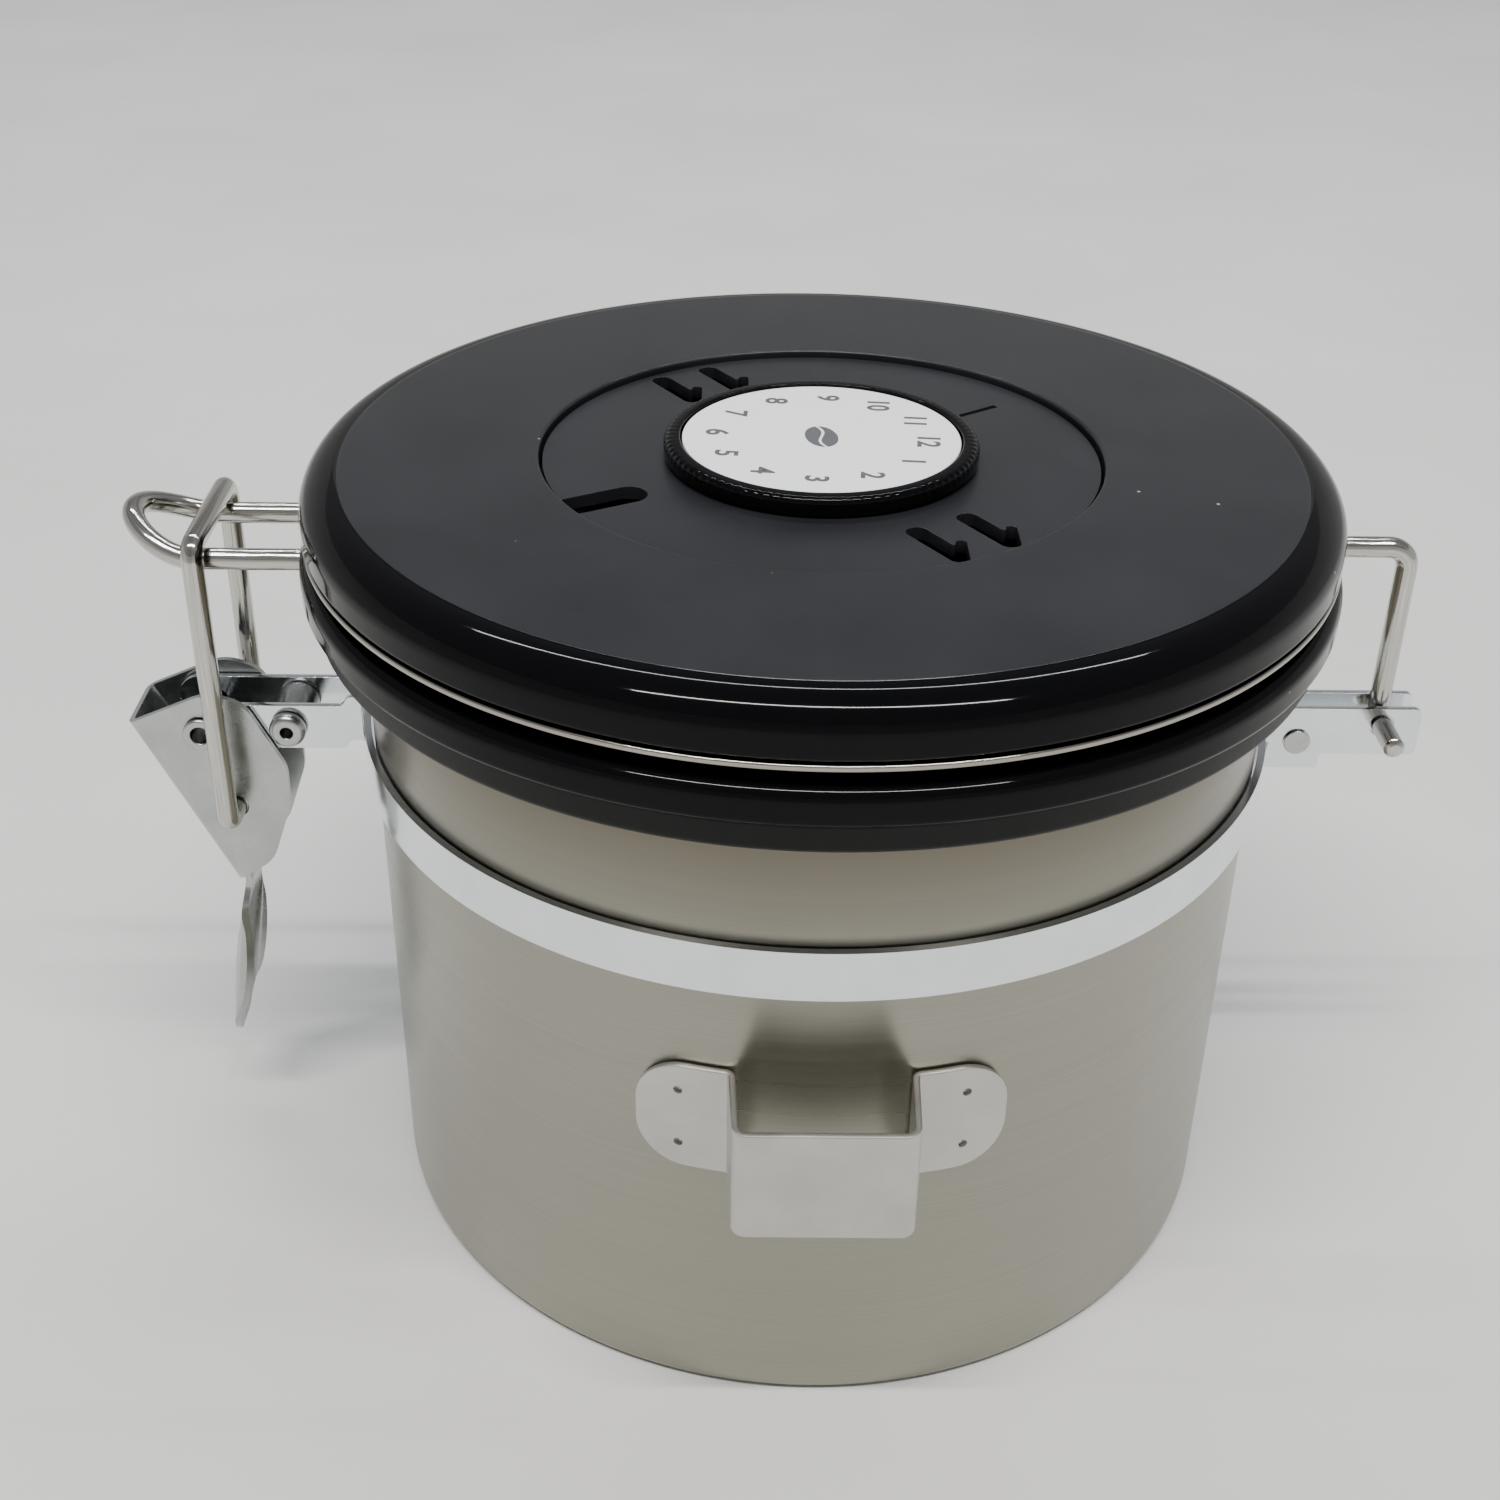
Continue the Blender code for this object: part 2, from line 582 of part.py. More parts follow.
def strap_rivets():
    clamp_z = LATCH_EAR_LOW + LATCH_EAR_HEIGHT / 2
    rivet("lever_pivot_rivet", PIVOT_X, PIVOT_Z, PIVOT_RADIUS, RIVET_HEAD_RADIUS,
          CHEEK_OUTER, RIVET_HEAD, PIVOT_BORE)
    rivet("latch_clamp_rivet", -LATCH_CLAMP_X, clamp_z, CLAMP_RADIUS, CLAMP_HEAD_RADIUS,
          LATCH_EAR_FACE, CLAMP_HEAD, PIVOT_BORE)
    rivet("hinge_clamp_rivet", HINGE_CLAMP_X, HINGE_CLAMP_Z, CLAMP_RADIUS,
          HINGE_CLAMP_HEAD_RADIUS, HINGE_EAR_FACE, RIVET_HEAD)
    half = LATCH_EAR_GAP / 2 - TOUCH
    bore = CLAMP_RADIUS + TOUCH
    sleeve = [(bore, half), (SPACER_RADIUS, half), (SPACER_RADIUS, -half), (bore, -half)]
    matrix = across_axis(-LATCH_CLAMP_X, clamp_z)
    as_part(turned("latch_clamp_spacer", sleeve, True, SMALL_SEGMENTS, matrix), "zinc_steel")


# ---------------------------------------------------------------- scoop bracket
def scoop_bracket():
    """Hat-shaped strip spot-welded to the can's front; the scoop's handle drops in."""
    inner = BODY_RADIUS + TOUCH + BRACKET_SHEET / 2
    half = BRACKET_POCKET_WIDTH / 2 - BRACKET_SHEET / 2
    front = BODY_RADIUS + BRACKET_DEPTH - BRACKET_SHEET / 2
    outer_angle = math.asin(BRACKET_HALF_SPAN / inner)
    root_angle = math.asin((half + BRACKET_SHEET / 2) / inner)
    flange = arc(inner, -math.pi / 2 - outer_angle, -math.pi / 2 - root_angle, math.radians(3))
    left = [(point, 0) for point in flange]
    left[-1] = (left[-1][0], BRACKET_BEND)
    left.append(((-half, -front), BRACKET_BEND))
    right = [((-point[0], point[1]), radius) for point, radius in reversed(left)]
    path = rounded(left + right)
    low = BRACKET_LOW
    high = BRACKET_LOW + BRACKET_HEIGHT
    strip = strip_outline(path, BRACKET_SHEET)
    bracket = level_plate("scoop_bracket", strip, low - OVERRUN, high + OVERRUN)
    end = BRACKET_HEIGHT * END_ROUND
    across = BRACKET_HALF_SPAN
    view = rounded([((-across, low), end), ((across, low), end),
                    ((across, high), end), ((-across, high), end)], closed=True)
    combine(bracket, side_plate("bracket_side_view", view, 3 * BODY_RADIUS), "INTERSECT")
    surface = BODY_RADIUS + TOUCH + BRACKET_SHEET
    for across in (-WELD_X, WELD_X):
        for up in (-WELD_SPACING / 2, WELD_SPACING / 2):
            angle = -math.pi / 2 + math.asin(across / surface)
            out = Vector((math.cos(angle), math.sin(angle), 0))
            height = Vector((0, 0, low + BRACKET_HEIGHT / 2 + up))
            start = out * (surface - WELD_DEPTH) + height
            end_point = out * (surface + OVERRUN) + height
            dimple = rod("weld_dimple", WELD_RADIUS, start, end_point, HOLE_SEGMENTS)
            combine(bracket, dimple)
    as_part(bracket, "zinc_steel")


# ---------------------------------------------------------------- latch
def lever_corners():
    """Cheek corners from the pivot, in X and Z, each with its rounding radius.

    The first two are the ends of the web, which closes the side away from the can."""
    return [((-0.0105, 0.0017), 0.0004), ((0.0022, -0.0256), 0.0008),
            ((0.0080, -0.0218), 0.0060), ((0.0115, -0.0119), 0.0070),
            ((0.0116, -0.0057), 0.0060), ((0.0065, 0.0047), 0.0045),
            ((0.0014, 0.0064), 0.0060)]


def latch_lever():
    """Folded channel: two cheeks outside the ears, a web and a finger tab below."""
    pivot = Vector((PIVOT_X, PIVOT_Z))
    corners = [(pivot + Vector(corner), radius) for corner, radius in lever_corners()]
    lever = side_plate("latch_lever", rounded(corners, closed=True), 2 * CHEEK_OUTER)
    web_top = corners[0][0]
    web_end = corners[1][0]
    down = (web_end - web_top).normalized()
    inward = Vector((-down.y, down.x))
    near = inward * LEVER_SHEET
    far = inward * TAB_LENGTH
    start = web_top - down * TAB_LENGTH
    end = web_end + down * TAB_LENGTH
    channel = [start + near, end + near, end + far, start + far]
    combine(lever, side_plate("lever_channel", channel, 2 * CHEEK_INNER))
    combine(lever, finger_tab(web_end, near), "UNION")
    pivot_hole = cross_rod("lever_pivot_hole", PIVOT_RADIUS + RUN, PIVOT_X, PIVOT_Z, TAB_WIDTH)
    combine(lever, pivot_hole)
    combine(lever, cross_rod("bail_hole", WIRE_RADIUS + RUN, BAIL_X, BAIL_Z, TAB_WIDTH))
    as_part(lever, "zinc_steel")


def finger_tab(web_end, near):
    """Leaf-shaped tab that hangs from the web's end and leans away from the can."""
    wide = TAB_WIDTH / 2
    neck = TAB_NECK / 2
    widen = TAB_LENGTH * 0.28
    taper = TAB_LENGTH * 0.80
    overlap = 2 * LEVER_SHEET
    half = [((neck, overlap), 0), ((neck, -TAB_LENGTH * 0.08), 0.002), ((wide, -widen), 0.005),
            ((wide, -taper), 0.005), ((neck, -TAB_LENGTH), 0.002)]
    mirrored = [((-point[0], point[1]), radius) for point, radius in reversed(half)]
    outline = rounded(half + mirrored, closed=True)
    root = web_end + near / 2
    place = Matrix.Translation((root.x, 0, root.y))
    lean = Matrix.Rotation(TAB_TILT, 4, "Y")
    upright = Matrix.Rotation(math.radians(90), 4, "Z") @ Matrix.Rotation(math.radians(90), 4, "X")
    return plate("finger_tab", outline, LEVER_SHEET, place @ lean @ upright)


def latch_bail():
    """Wire loop: its feet turn in the lever's cheeks and its bar lies over the hook arms."""
    half = [((BAIL_X, -BAIL_FOOT_END, BAIL_Z), 0), ((BAIL_X, -BAIL_LEG_Y, BAIL_Z), 0.0022),
            ((BAR_X, -BAIL_LEG_Y, BAR_Z), 0.0032)]
    mirrored = [((x, -y, z), radius) for (x, y, z), radius in reversed(half)]
    as_part(wire("latch_bail", rounded(half + mirrored)), "bright_steel")


# ---------------------------------------------------------------- lid wires
def hook_wire():
    """Wire hook on -X; its ends lie round the channel inside the ring."""
    junction = math.pi + math.asin(ARM_SPREAD / WIRE_CIRCLE)
    inside = arc(WIRE_CIRCLE, math.pi + math.radians(52), junction)
    near = [((x, y, WIRE_Z), 0) for x, y in inside]
    near[-1] = (near[-1][0], 0.0035)
    near.append(((-ARM_REACH, -ARM_SPREAD, WIRE_Z), 0))
    nose = []
    for number in range(1, 12):
        angle = math.pi * number / 12
        x = -ARM_REACH - NOSE_REACH * math.sin(angle)
        z = WIRE_Z + NOSE_RISE * math.sin(angle) ** 1.5
        nose.append(((x, -ARM_SPREAD * math.cos(angle), z), 0))
    far = [((x, -y, z), radius) for (x, y, z), radius in reversed(near)]
    as_part(wire("hook_wire", rounded(near + nose + far)), "bright_steel")


def hinge_wire():
    """Wire hinge on +X: an arm, a leg between the hinge ears and a foot through one."""
    inside = arc(WIRE_CIRCLE, math.radians(68), 0)
    corners = [((x, y, WIRE_Z), 0) for x, y in inside]
    corners[-1] = (corners[-1][0], 0.0035)
    corners += [((HINGE_X, 0, WIRE_Z), 0.0030), ((HINGE_X, 0, HINGE_Z), 0.0017),
                ((HINGE_X, -HINGE_FOOT_REACH, HINGE_Z), 0)]
    as_part(wire("hinge_wire", rounded(corners)), "bright_steel")


# ---------------------------------------------------------------- lid shells
def screw_places():
    angles = [math.radians(45) + 2 * math.pi * number / SCREWS for number in range(SCREWS)]
    return [(SCREW_CIRCLE * math.cos(a), SCREW_CIRCLE * math.sin(a)) for a in angles]


def drill_screw_holes(target, low, high):
    for number, (x, y) in enumerate(screw_places()):
        name = f"{target.name}_screw_hole_{number}"
        combine(target, rod(name, SCREW_RADIUS + TOUCH, (x, y, low), (x, y, high), SCREW_SEGMENTS))


def lid_gasket():
    skirt_low = RIM_HEIGHT - GASKET_SKIRT
    groove = BODY_RADIUS + RIM_FLARE + 2 * TOUCH
    lip = INNER_RADIUS - PLUG_CLEARANCE
    lip_low = GASKET_GROOVE - GASKET_INNER_LIP
    bore = SPIGOT_RADIUS + TOUCH
    profile = rounded([((bore, GASKET_TOP), 0), ((GASKET_RADIUS, GASKET_TOP), 0.0005),
                       ((GASKET_RADIUS, skirt_low), 0.0008), ((groove, skirt_low), 0.0006),
                       ((groove, GASKET_GROOVE), 0), ((lip, GASKET_GROOVE), 0),
                       ((lip, lip_low), 0), ((bore, lip_low), 0)], True, math.radians(46))
    as_part(turned("lid_gasket", profile), "black_rubber")


def lid_lower_ring():
    """Gloss ring with the wires' channel below, a collar above and the valve's hole."""
    channel = RING_RADIUS - RING_WALL
    spigot_low = RIM_HEIGHT - SPIGOT_REACH
    collar_top = RING_TOP + COLLAR_HEIGHT
    collar_bore = COLLAR_RADIUS - COLLAR_WIDTH
    bore = SPIGOT_RADIUS - SPIGOT_WALL
    profile = rounded([((VALVE_BORE, RING_TOP), 0), ((collar_bore, RING_TOP), 0),
                       ((collar_bore, collar_top), 0), ((COLLAR_RADIUS, collar_top), 0),
                       ((COLLAR_RADIUS, RING_TOP), 0),
                       ((RING_RADIUS, RING_TOP), RING_TOP_ROUND),
                       ((RING_RADIUS, RING_LOW), RING_FOOT_ROUND), ((channel, RING_LOW), 0),
                       ((channel, RING_PLATE_LOW), 0), ((SPIGOT_RADIUS, RING_PLATE_LOW), 0),
                       ((SPIGOT_RADIUS, spigot_low), 0), ((bore, spigot_low), 0),
                       ((bore, RING_PLATE_LOW), 0), ((VALVE_BORE, RING_PLATE_LOW), 0)],
                      True, math.radians(31))
    ring = turned("lid_lower_ring", profile)
    drill_screw_holes(ring, RING_PLATE_LOW - OVERRUN, RING_TOP + OVERRUN)
    half = WIRE_RADIUS + TOUCH
    slot_top = WIRE_Z + half
    inside = channel - WIRE_DIAMETER
    outside = RING_RADIUS + OVERRUN
    for number, (side, y) in enumerate(((-1, -ARM_SPREAD), (-1, ARM_SPREAD), (1, 0.0))):
        ends = sorted((side * inside, side * outside))
        low = (ends[0], y - half, RING_LOW - OVERRUN)
        high = (ends[1], y + half, slot_top)
        combine(ring, block(f"wire_slot_{number}", low, high))
    as_part(ring, "gloss_black")


def lid_pan():
    """Steel pan between the cover and the ring; its turned-up lip shows at the edge."""
    lip_top = PAN_LOW + PAN_LIP
    profile = rounded([((PAN_BORE, PAN_TOP), 0), ((PAN_RADIUS - PAN_THICKNESS, PAN_TOP), 0),
                       ((PAN_RADIUS - PAN_THICKNESS, lip_top), 0), ((PAN_RADIUS, lip_top), 0),
                       ((PAN_RADIUS, PAN_LOW), 0.0004), ((PAN_BORE, PAN_LOW), 0)],
                      True, math.radians(46))
    pan = turned("lid_pan", profile)
    drill_screw_holes(pan, PAN_LOW - OVERRUN, PAN_TOP + OVERRUN)
    as_part(pan, "bright_steel")


def lid_cover():
    """Outer cover: flat top, rolled edge, and a ledge that holds the vent disc."""
    edge_centre = COVER_TOP - COVER_EDGE_DROP
    skirt = PAN_RADIUS - COVER_SKIRT
    well = VENT_DISC_RADIUS + 1.5 * TOUCH
    hub = well + COVER_HUB_WALL
    ledge = VENT_DISC_RADIUS - LEDGE_WIDTH + TOUCH
    rolled = []
    for number in range(6):
        angle = math.radians(90 - 18 * number)
        rolled.append((COVER_FLAT_RADIUS + COVER_EDGE_RUN * math.cos(angle),
                       edge_centre + COVER_EDGE_DROP * math.sin(angle)))
    profile = [(ledge, LEDGE_TOP), (well, LEDGE_TOP), (well, COVER_TOP - TOUCH),
               (well + TOUCH, COVER_TOP)]
    profile += rolled
    profile += [(PAN_RADIUS, COVER_LOW + COVER_FOOT_CHAMFER),
                (PAN_RADIUS - COVER_FOOT_CHAMFER, COVER_LOW), (skirt, COVER_LOW),
                (skirt, edge_centre), (COVER_FLAT_RADIUS, COVER_UNDER), (hub, COVER_UNDER),
                (hub, LEDGE_TOP - LEDGE_THICKNESS), (ledge, LEDGE_TOP - LEDGE_THICKNESS)]
    cover = turned("lid_cover", profile)
    boss_low = PAN_TOP + TOUCH
    boss = SCREW_RADIUS + TOUCH + BOSS_WALL
    for number, (x, y) in enumerate(screw_places()):
        base = (x, y, boss_low)
        tip = (x, y, COVER_UNDER + COVER_PLATE / 2)
        combine(cover, rod(f"cover_boss_{number}", boss, base, tip, 16), "UNION")
    drill_screw_holes(cover, boss_low - OVERRUN, boss_low + SCREW_REACH + TOUCH)
    as_part(cover, "satin_black")


def lid_screws():
    """Screws from below, through the ring's plate and the pan into the cover's bosses."""
    seat = RING_PLATE_LOW - TOUCH
    tip = PAN_TOP + TOUCH + SCREW_REACH
    head_low = seat - SCREW_HEAD
    profile = [(0, tip), (SCREW_RADIUS, tip), (SCREW_RADIUS, seat), (SCREW_HEAD_RADIUS, seat),
               (SCREW_HEAD_RADIUS, seat - SCREW_HEAD / 2), (SCREW_HEAD_RADIUS * 0.6, head_low),
               (0, head_low)]
    for number, (x, y) in enumerate(screw_places(), start=1):
        place = Matrix.Translation((x, y, 0))
        screw = turned(f"lid_screw_{number}", profile, False, SCREW_SEGMENTS, place)
        as_part(screw, "zinc_steel")


# ---------------------------------------------------------------- vent disc and date dial
def cut_slot(disc, name, centre, along, length, width):
    """Cut a round-ended slot through the disc, its length measured over the ends."""
    across = Vector((-along.y, along.x))
    half = length / 2
    side = width / 2
    ends = ((half, side), (-half, side), (-half, -side), (half, -side))
    corners = [(centre + along * a + across * b, side * 0.98) for a, b in ends]
    outline = rounded(corners, closed=True, step=math.radians(46))
    combine(disc, level_plate(name, outline, DISC_LOW - OVERRUN, DISC_TOP + OVERRUN))


def vent_disc():
    """Snap-in disc with two pairs of hooked vent slots, a finger slot and the dial's bearing."""
    edge = 0.0003
    bearing = KNOB_SHAFT_RADIUS + RUN
    profile = [(bearing, DISC_TOP), (VENT_DISC_RADIUS - edge, DISC_TOP),
               (VENT_DISC_RADIUS, DISC_TOP - edge), (VENT_DISC_RADIUS, DISC_LOW),
               (bearing, DISC_LOW)]
    disc = turned("vent_disc", profile)
    along = Vector((math.cos(VENT_SLOT_AZIMUTH), math.sin(VENT_SLOT_AZIMUTH)))
    across = Vector((-along.y, along.x))
    for end in (-1, 1):
        for side in (-1, 1):
            centre = (along * VENT_SLOT_CENTRE + across * side * VENT_SLOT_SPREAD / 2) * end
            cut_slot(disc, "vent_slot", centre, along, VENT_SLOT_LENGTH, VENT_SLOT_WIDTH)
            foot = centre + along * (VENT_SLOT_LENGTH - VENT_SLOT_WIDTH) / 2
            hook = foot + Vector(((VENT_SLOT_WIDTH - VENT_HOOK_WIDTH) / 2,
                                  (VENT_HOOK_LENGTH - VENT_HOOK_WIDTH) / 2))
            cut_slot(disc, "vent_hook", hook, Vector((0, 1)), VENT_HOOK_LENGTH, VENT_HOOK_WIDTH)
    inward = Vector((-math.cos(FINGER_SLOT_AZIMUTH), -math.sin(FINGER_SLOT_AZIMUTH)))
    length = FINGER_SLOT_LENGTH + FINGER_SLOT_WIDTH
    centre = inward * (length / 2 - FINGER_SLOT_WIDTH - VENT_DISC_RADIUS)
    cut_slot(disc, "finger_slot", centre, inward, length, FINGER_SLOT_WIDTH)
    as_part(disc, "satin_black")


def date_dial():
    """Knob that turns in the vent disc, its printed face, and the clip that holds it."""
    well = DIAL_RADIUS + TOUCH
    clip_top = DISC_LOW - TOUCH
    groove_low = clip_top - CLIP_THICKNESS - TOUCH
    groove = KNOB_SHAFT_RADIUS - CLIP_GROOVE
    tip = groove_low - KNOB_SHAFT_END
    knob = rounded([((0, KNOB_FLOOR), 0), ((well, KNOB_FLOOR), 0), ((well, KNOB_TOP), 0.0002),
                    ((KNOB_RADIUS - 0.0004, KNOB_TOP), 0.0010), ((KNOB_RADIUS, KNOB_LOW), 0.0005),
                    ((KNOB_SHAFT_RADIUS, KNOB_LOW), 0), ((KNOB_SHAFT_RADIUS, clip_top), 0),
                    ((groove, clip_top), 0), ((groove, groove_low), 0),
                    ((KNOB_SHAFT_RADIUS, groove_low), 0), ((KNOB_SHAFT_RADIUS, tip), 0),
                    ((0, tip), 0)], step=math.radians(46))
    as_part(turned("date_knob", knob, False, 36), "gloss_black")
    face = [(0, DIAL_TOP), (DIAL_RADIUS, DIAL_TOP), (DIAL_RADIUS, DIAL_LOW), (0, DIAL_LOW)]
    as_part(turned("dial_face", face, False, 36), "white_plastic")
    inner = groove + TOUCH
    clip = turned("dial_clip", [(inner, clip_top), (CLIP_RADIUS, clip_top),
                                (CLIP_RADIUS, clip_top - CLIP_THICKNESS),
                                (inner, clip_top - CLIP_THICKNESS)], True, 24)
    mouth = inner * 0.8
    low = (0, -mouth, groove_low - OVERRUN)
    combine(clip, block("clip_mouth", low, (CLIP_RADIUS * 2, mouth, clip_top + OVERRUN)))
    as_part(clip, "zinc_steel")


# ---------------------------------------------------------------- gas valve
def gas_valve():
    """One-way valve under the lid: body, rubber flap, top guard, filter and grille."""
    flange_top = RING_PLATE_LOW - TOUCH
    flange_low = flange_top - VALVE_FLANGE
    collar_top = RING_TOP + VALVE_COLLAR_RISE
    collar = VALVE_BORE - TOUCH
    pocket = collar - VALVE_WALL
    seat = flange_low + VALVE_SEAT
    stem_hole = VALVE_STEM_RADIUS + RUN
    body = turned("valve_body", [(stem_hole, seat), (pocket, seat), (pocket, collar_top),
                                 (collar, collar_top), (collar, flange_top),
                                 (VALVE_FLANGE_RADIUS, flange_top),
                                 (VALVE_FLANGE_RADIUS, flange_low), (stem_hole, flange_low)],
                  True, 32)
    for number in range(VALVE_HOLES):
        angle = 2 * math.pi * number / VALVE_HOLES
        x = (pocket + stem_hole) / 2 * math.cos(angle)
        y = (pocket + stem_hole) / 2 * math.sin(angle)
        ends = ((x, y, flange_low - OVERRUN), (x, y, seat + OVERRUN))
        combine(body, rod(f"gas_hole_{number}", VALVE_HOLE_RADIUS, *ends, HOLE_SEGMENTS))
    as_part(body, "satin_black")
    flap_low = seat + TOUCH
    flap = pocket - 2 * RUN
    bulb_top = flange_low - VALVE_LIFT - TOUCH
    bulb_low = bulb_top - VALVE_BULB
    stem = VALVE_STEM_RADIUS
    profile = [(0, flap_low + VALVE_FLAP), (flap, flap_low + VALVE_FLAP), (flap, flap_low),
               (stem, flap_low), (stem, bulb_top), (stem * 1.8, bulb_top),
               (stem * 1.2, bulb_low), (0, bulb_low)]
    as_part(turned("valve_flap", profile, False, 24), "clear_silicone")
    guard_low = collar_top + TOUCH
    guard_top = guard_low + GUARD_THICKNESS
    guard = turned("valve_guard", [(GUARD_BORE, guard_top), (collar, guard_top),
                                   (collar, guard_low), (GUARD_BORE, guard_low)], True, 24)
    as_part(guard, "satin_black")
    filter_grille(flange_top, bulb_low)


def filter_grille(flange_top, bulb_low):
    """Cup that snaps over the valve's flange and holds a round of filter felt."""
    inner = VALVE_FLANGE_RADIUS + TOUCH
    outer = inner + GRILLE_WALL
    felt_high = bulb_low - TOUCH
    floor_top = felt_high - FILTER_THICKNESS - TOUCH
    floor_low = floor_top - GRILLE_WALL
    grille = turned("filter_grille", [(0, floor_top), (inner, floor_top), (inner, flange_top),
                                      (outer, flange_top), (outer, floor_low), (0, floor_low)],
                    False, 32)
    for ring, count in GRILLE_HOLES:
        for number in range(count):
            angle = 2 * math.pi * (number + 1 / 3) / count
            x = ring * math.cos(angle)
            y = ring * math.sin(angle)
            ends = ((x, y, floor_low - OVERRUN), (x, y, floor_top + OVERRUN))
            name = f"grille_hole_{count}_{number}"
            combine(grille, rod(name, GRILLE_HOLE_RADIUS, *ends, HOLE_SEGMENTS))
    as_part(grille, "satin_black")
    felt_low = floor_top + TOUCH
    felt_edge = inner - TOUCH
    felt = [(0, felt_high), (felt_edge, felt_high), (felt_edge, felt_low), (0, felt_low)]
    as_part(turned("filter_pad", felt, False, 32), "filter_felt")


# ---------------------------------------------------------------- assembly
clear_scene()
PARTS = new_collection("food_canister")
CUTTERS = new_collection("cutters")
can_shell()
can_base()
neck_strap("front_strap", -1)
neck_strap("rear_strap", 1)
strap_rivets()
scoop_bracket()
latch_lever()
latch_bail()
hook_wire()
hinge_wire()
lid_gasket()
lid_lower_ring()
lid_pan()
lid_cover()
lid_screws()
vent_disc()
date_dial()
gas_valve()
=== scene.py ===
"""Looks of a food canister with a clamp lid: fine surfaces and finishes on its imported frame.

Metres, +Z up.  The latch is on -X, the lid's wire hinge on +X and the scoop bracket on -Y.
"""
import json
import math

import bmesh
import bpy
from mathutils import Matrix, Vector


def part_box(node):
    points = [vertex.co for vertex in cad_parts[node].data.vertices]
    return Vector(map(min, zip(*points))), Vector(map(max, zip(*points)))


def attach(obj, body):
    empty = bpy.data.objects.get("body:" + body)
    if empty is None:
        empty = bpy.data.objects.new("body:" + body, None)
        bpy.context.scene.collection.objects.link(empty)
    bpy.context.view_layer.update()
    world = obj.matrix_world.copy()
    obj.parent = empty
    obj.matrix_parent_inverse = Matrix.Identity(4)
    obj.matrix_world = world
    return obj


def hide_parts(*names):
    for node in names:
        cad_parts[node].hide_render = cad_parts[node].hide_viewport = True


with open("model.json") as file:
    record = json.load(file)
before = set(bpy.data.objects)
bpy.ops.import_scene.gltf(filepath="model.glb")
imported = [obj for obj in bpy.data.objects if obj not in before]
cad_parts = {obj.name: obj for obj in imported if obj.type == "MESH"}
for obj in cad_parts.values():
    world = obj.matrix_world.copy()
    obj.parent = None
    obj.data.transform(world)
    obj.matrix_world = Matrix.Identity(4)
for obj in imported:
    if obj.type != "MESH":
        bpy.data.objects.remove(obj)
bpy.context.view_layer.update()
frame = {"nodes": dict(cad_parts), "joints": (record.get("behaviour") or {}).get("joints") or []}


# ---- sizes: from the frame's boxes and joints, and plain numbers for what no box tells
def low(node):
    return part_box(node)[0]


def high(node):
    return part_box(node)[1]


JOINT_AT = {joint["name"]: Vector(joint["pos_m"]) for joint in frame["joints"] if "pos_m" in joint}
HINGE = JOINT_AT["lid_hinge"]
PIVOT = JOINT_AT["latch_lever"]
BAIL = JOINT_AT["bail_pivot"]

TOUCH = 0.0003             # gap between pieces that touch
RUN = 0.0003               # hole over its pin, on the radius
WALL = 0.0008
RIM_FLARE = 0.0021
RIM_TOP = high("can_shell").z
RIM_RADIUS = high("can_shell").x
BODY_RADIUS = RIM_RADIUS - RIM_FLARE
INNER_RADIUS = BODY_RADIUS - WALL

GASKET_RADIUS = high("lid_gasket").x
GASKET_LOW = low("lid_gasket").z
GASKET_TOP = high("lid_gasket").z
GASKET_LIP = 0.0594
GASKET_LIP_LOW = 0.0926
SPIGOT_RADIUS = 0.0572
SPIGOT_BORE = 0.0548
RING_RADIUS = high("lid_lower_ring").x
RING_CHANNEL = 0.0666
RING_LOW = GASKET_TOP + TOUCH
RING_TOP = 0.1016
RING_PLATE_LOW = 0.1000
COLLAR_OUTER = 0.0660
COLLAR_BORE = 0.0600
SCREW_CIRCLE = 0.0480
PAN_RADIUS = high("lid_pan").x
PAN_LOW = low("lid_pan").z
PAN_LIP_TOP = high("lid_pan").z
PAN_TOP = PAN_LOW + WALL
COVER_TOP = high("lid_cover").z
COVER_FLAT = 0.0643
COVER_EDGE_DROP = 0.0045
COVER_UNDER = COVER_TOP - 0.0024
DISC_RADIUS = high("vent_disc").x
DISC_TOP = high("vent_disc").z
DISC_LOW = low("vent_disc").z
WELL_RADIUS = DISC_RADIUS + 1.5 * TOUCH
KNOB_RADIUS = high("date_knob").x
KNOB_TOP = high("date_knob").z
KNOB_LOW = DISC_TOP + TOUCH
DIAL_RADIUS = high("dial_face").x
DIAL_TOP = high("dial_face").z
DIAL_LOW = low("dial_face").z

STRAP_SHEET = 0.0010
STRAP_LOW = 0.0683
STRAP_HIGH = 0.0753
STRAP_RADIUS = BODY_RADIUS + TOUCH + STRAP_SHEET / 2
STRAP_BEND = 0.0024
LATCH_EAR_Y = 0.0042
LATCH_EAR_END = -low("front_strap").x
LATCH_EAR_LOW = 0.0669
LATCH_EAR_HIGH = 0.0738
LATCH_CLAMP_X = 0.0750
LATCH_CLAMP_Z = (LATCH_EAR_LOW + LATCH_EAR_HIGH) / 2
HINGE_EAR_Y = 0.00235
HINGE_EAR_END = high("front_strap").x
HINGE_EAR_LOW = 0.0664
HINGE_EAR_HIGH = 0.0739
HINGE_ROOT_END = 0.0738
HINGE_ROOT_LOW = low("front_strap").z
HINGE_CLAMP_X = 0.0702
HINGE_CLAMP_Z = 0.0685
RIVET_RADIUS = 0.0016
LEVER_SHEET = 0.0009

WIRE_RADIUS = 0.0015
WIRE_Z = RING_LOW + WIRE_RADIUS
WIRE_CIRCLE = 0.0620
WIRE_CORNER = 0.0035
ARM_SPREAD = 0.0075
ARM_END = 0.0848

MARK = 0.00003             # thickness of print on the dial
FINE = math.radians(9)     # turn between two points of a rounded corner


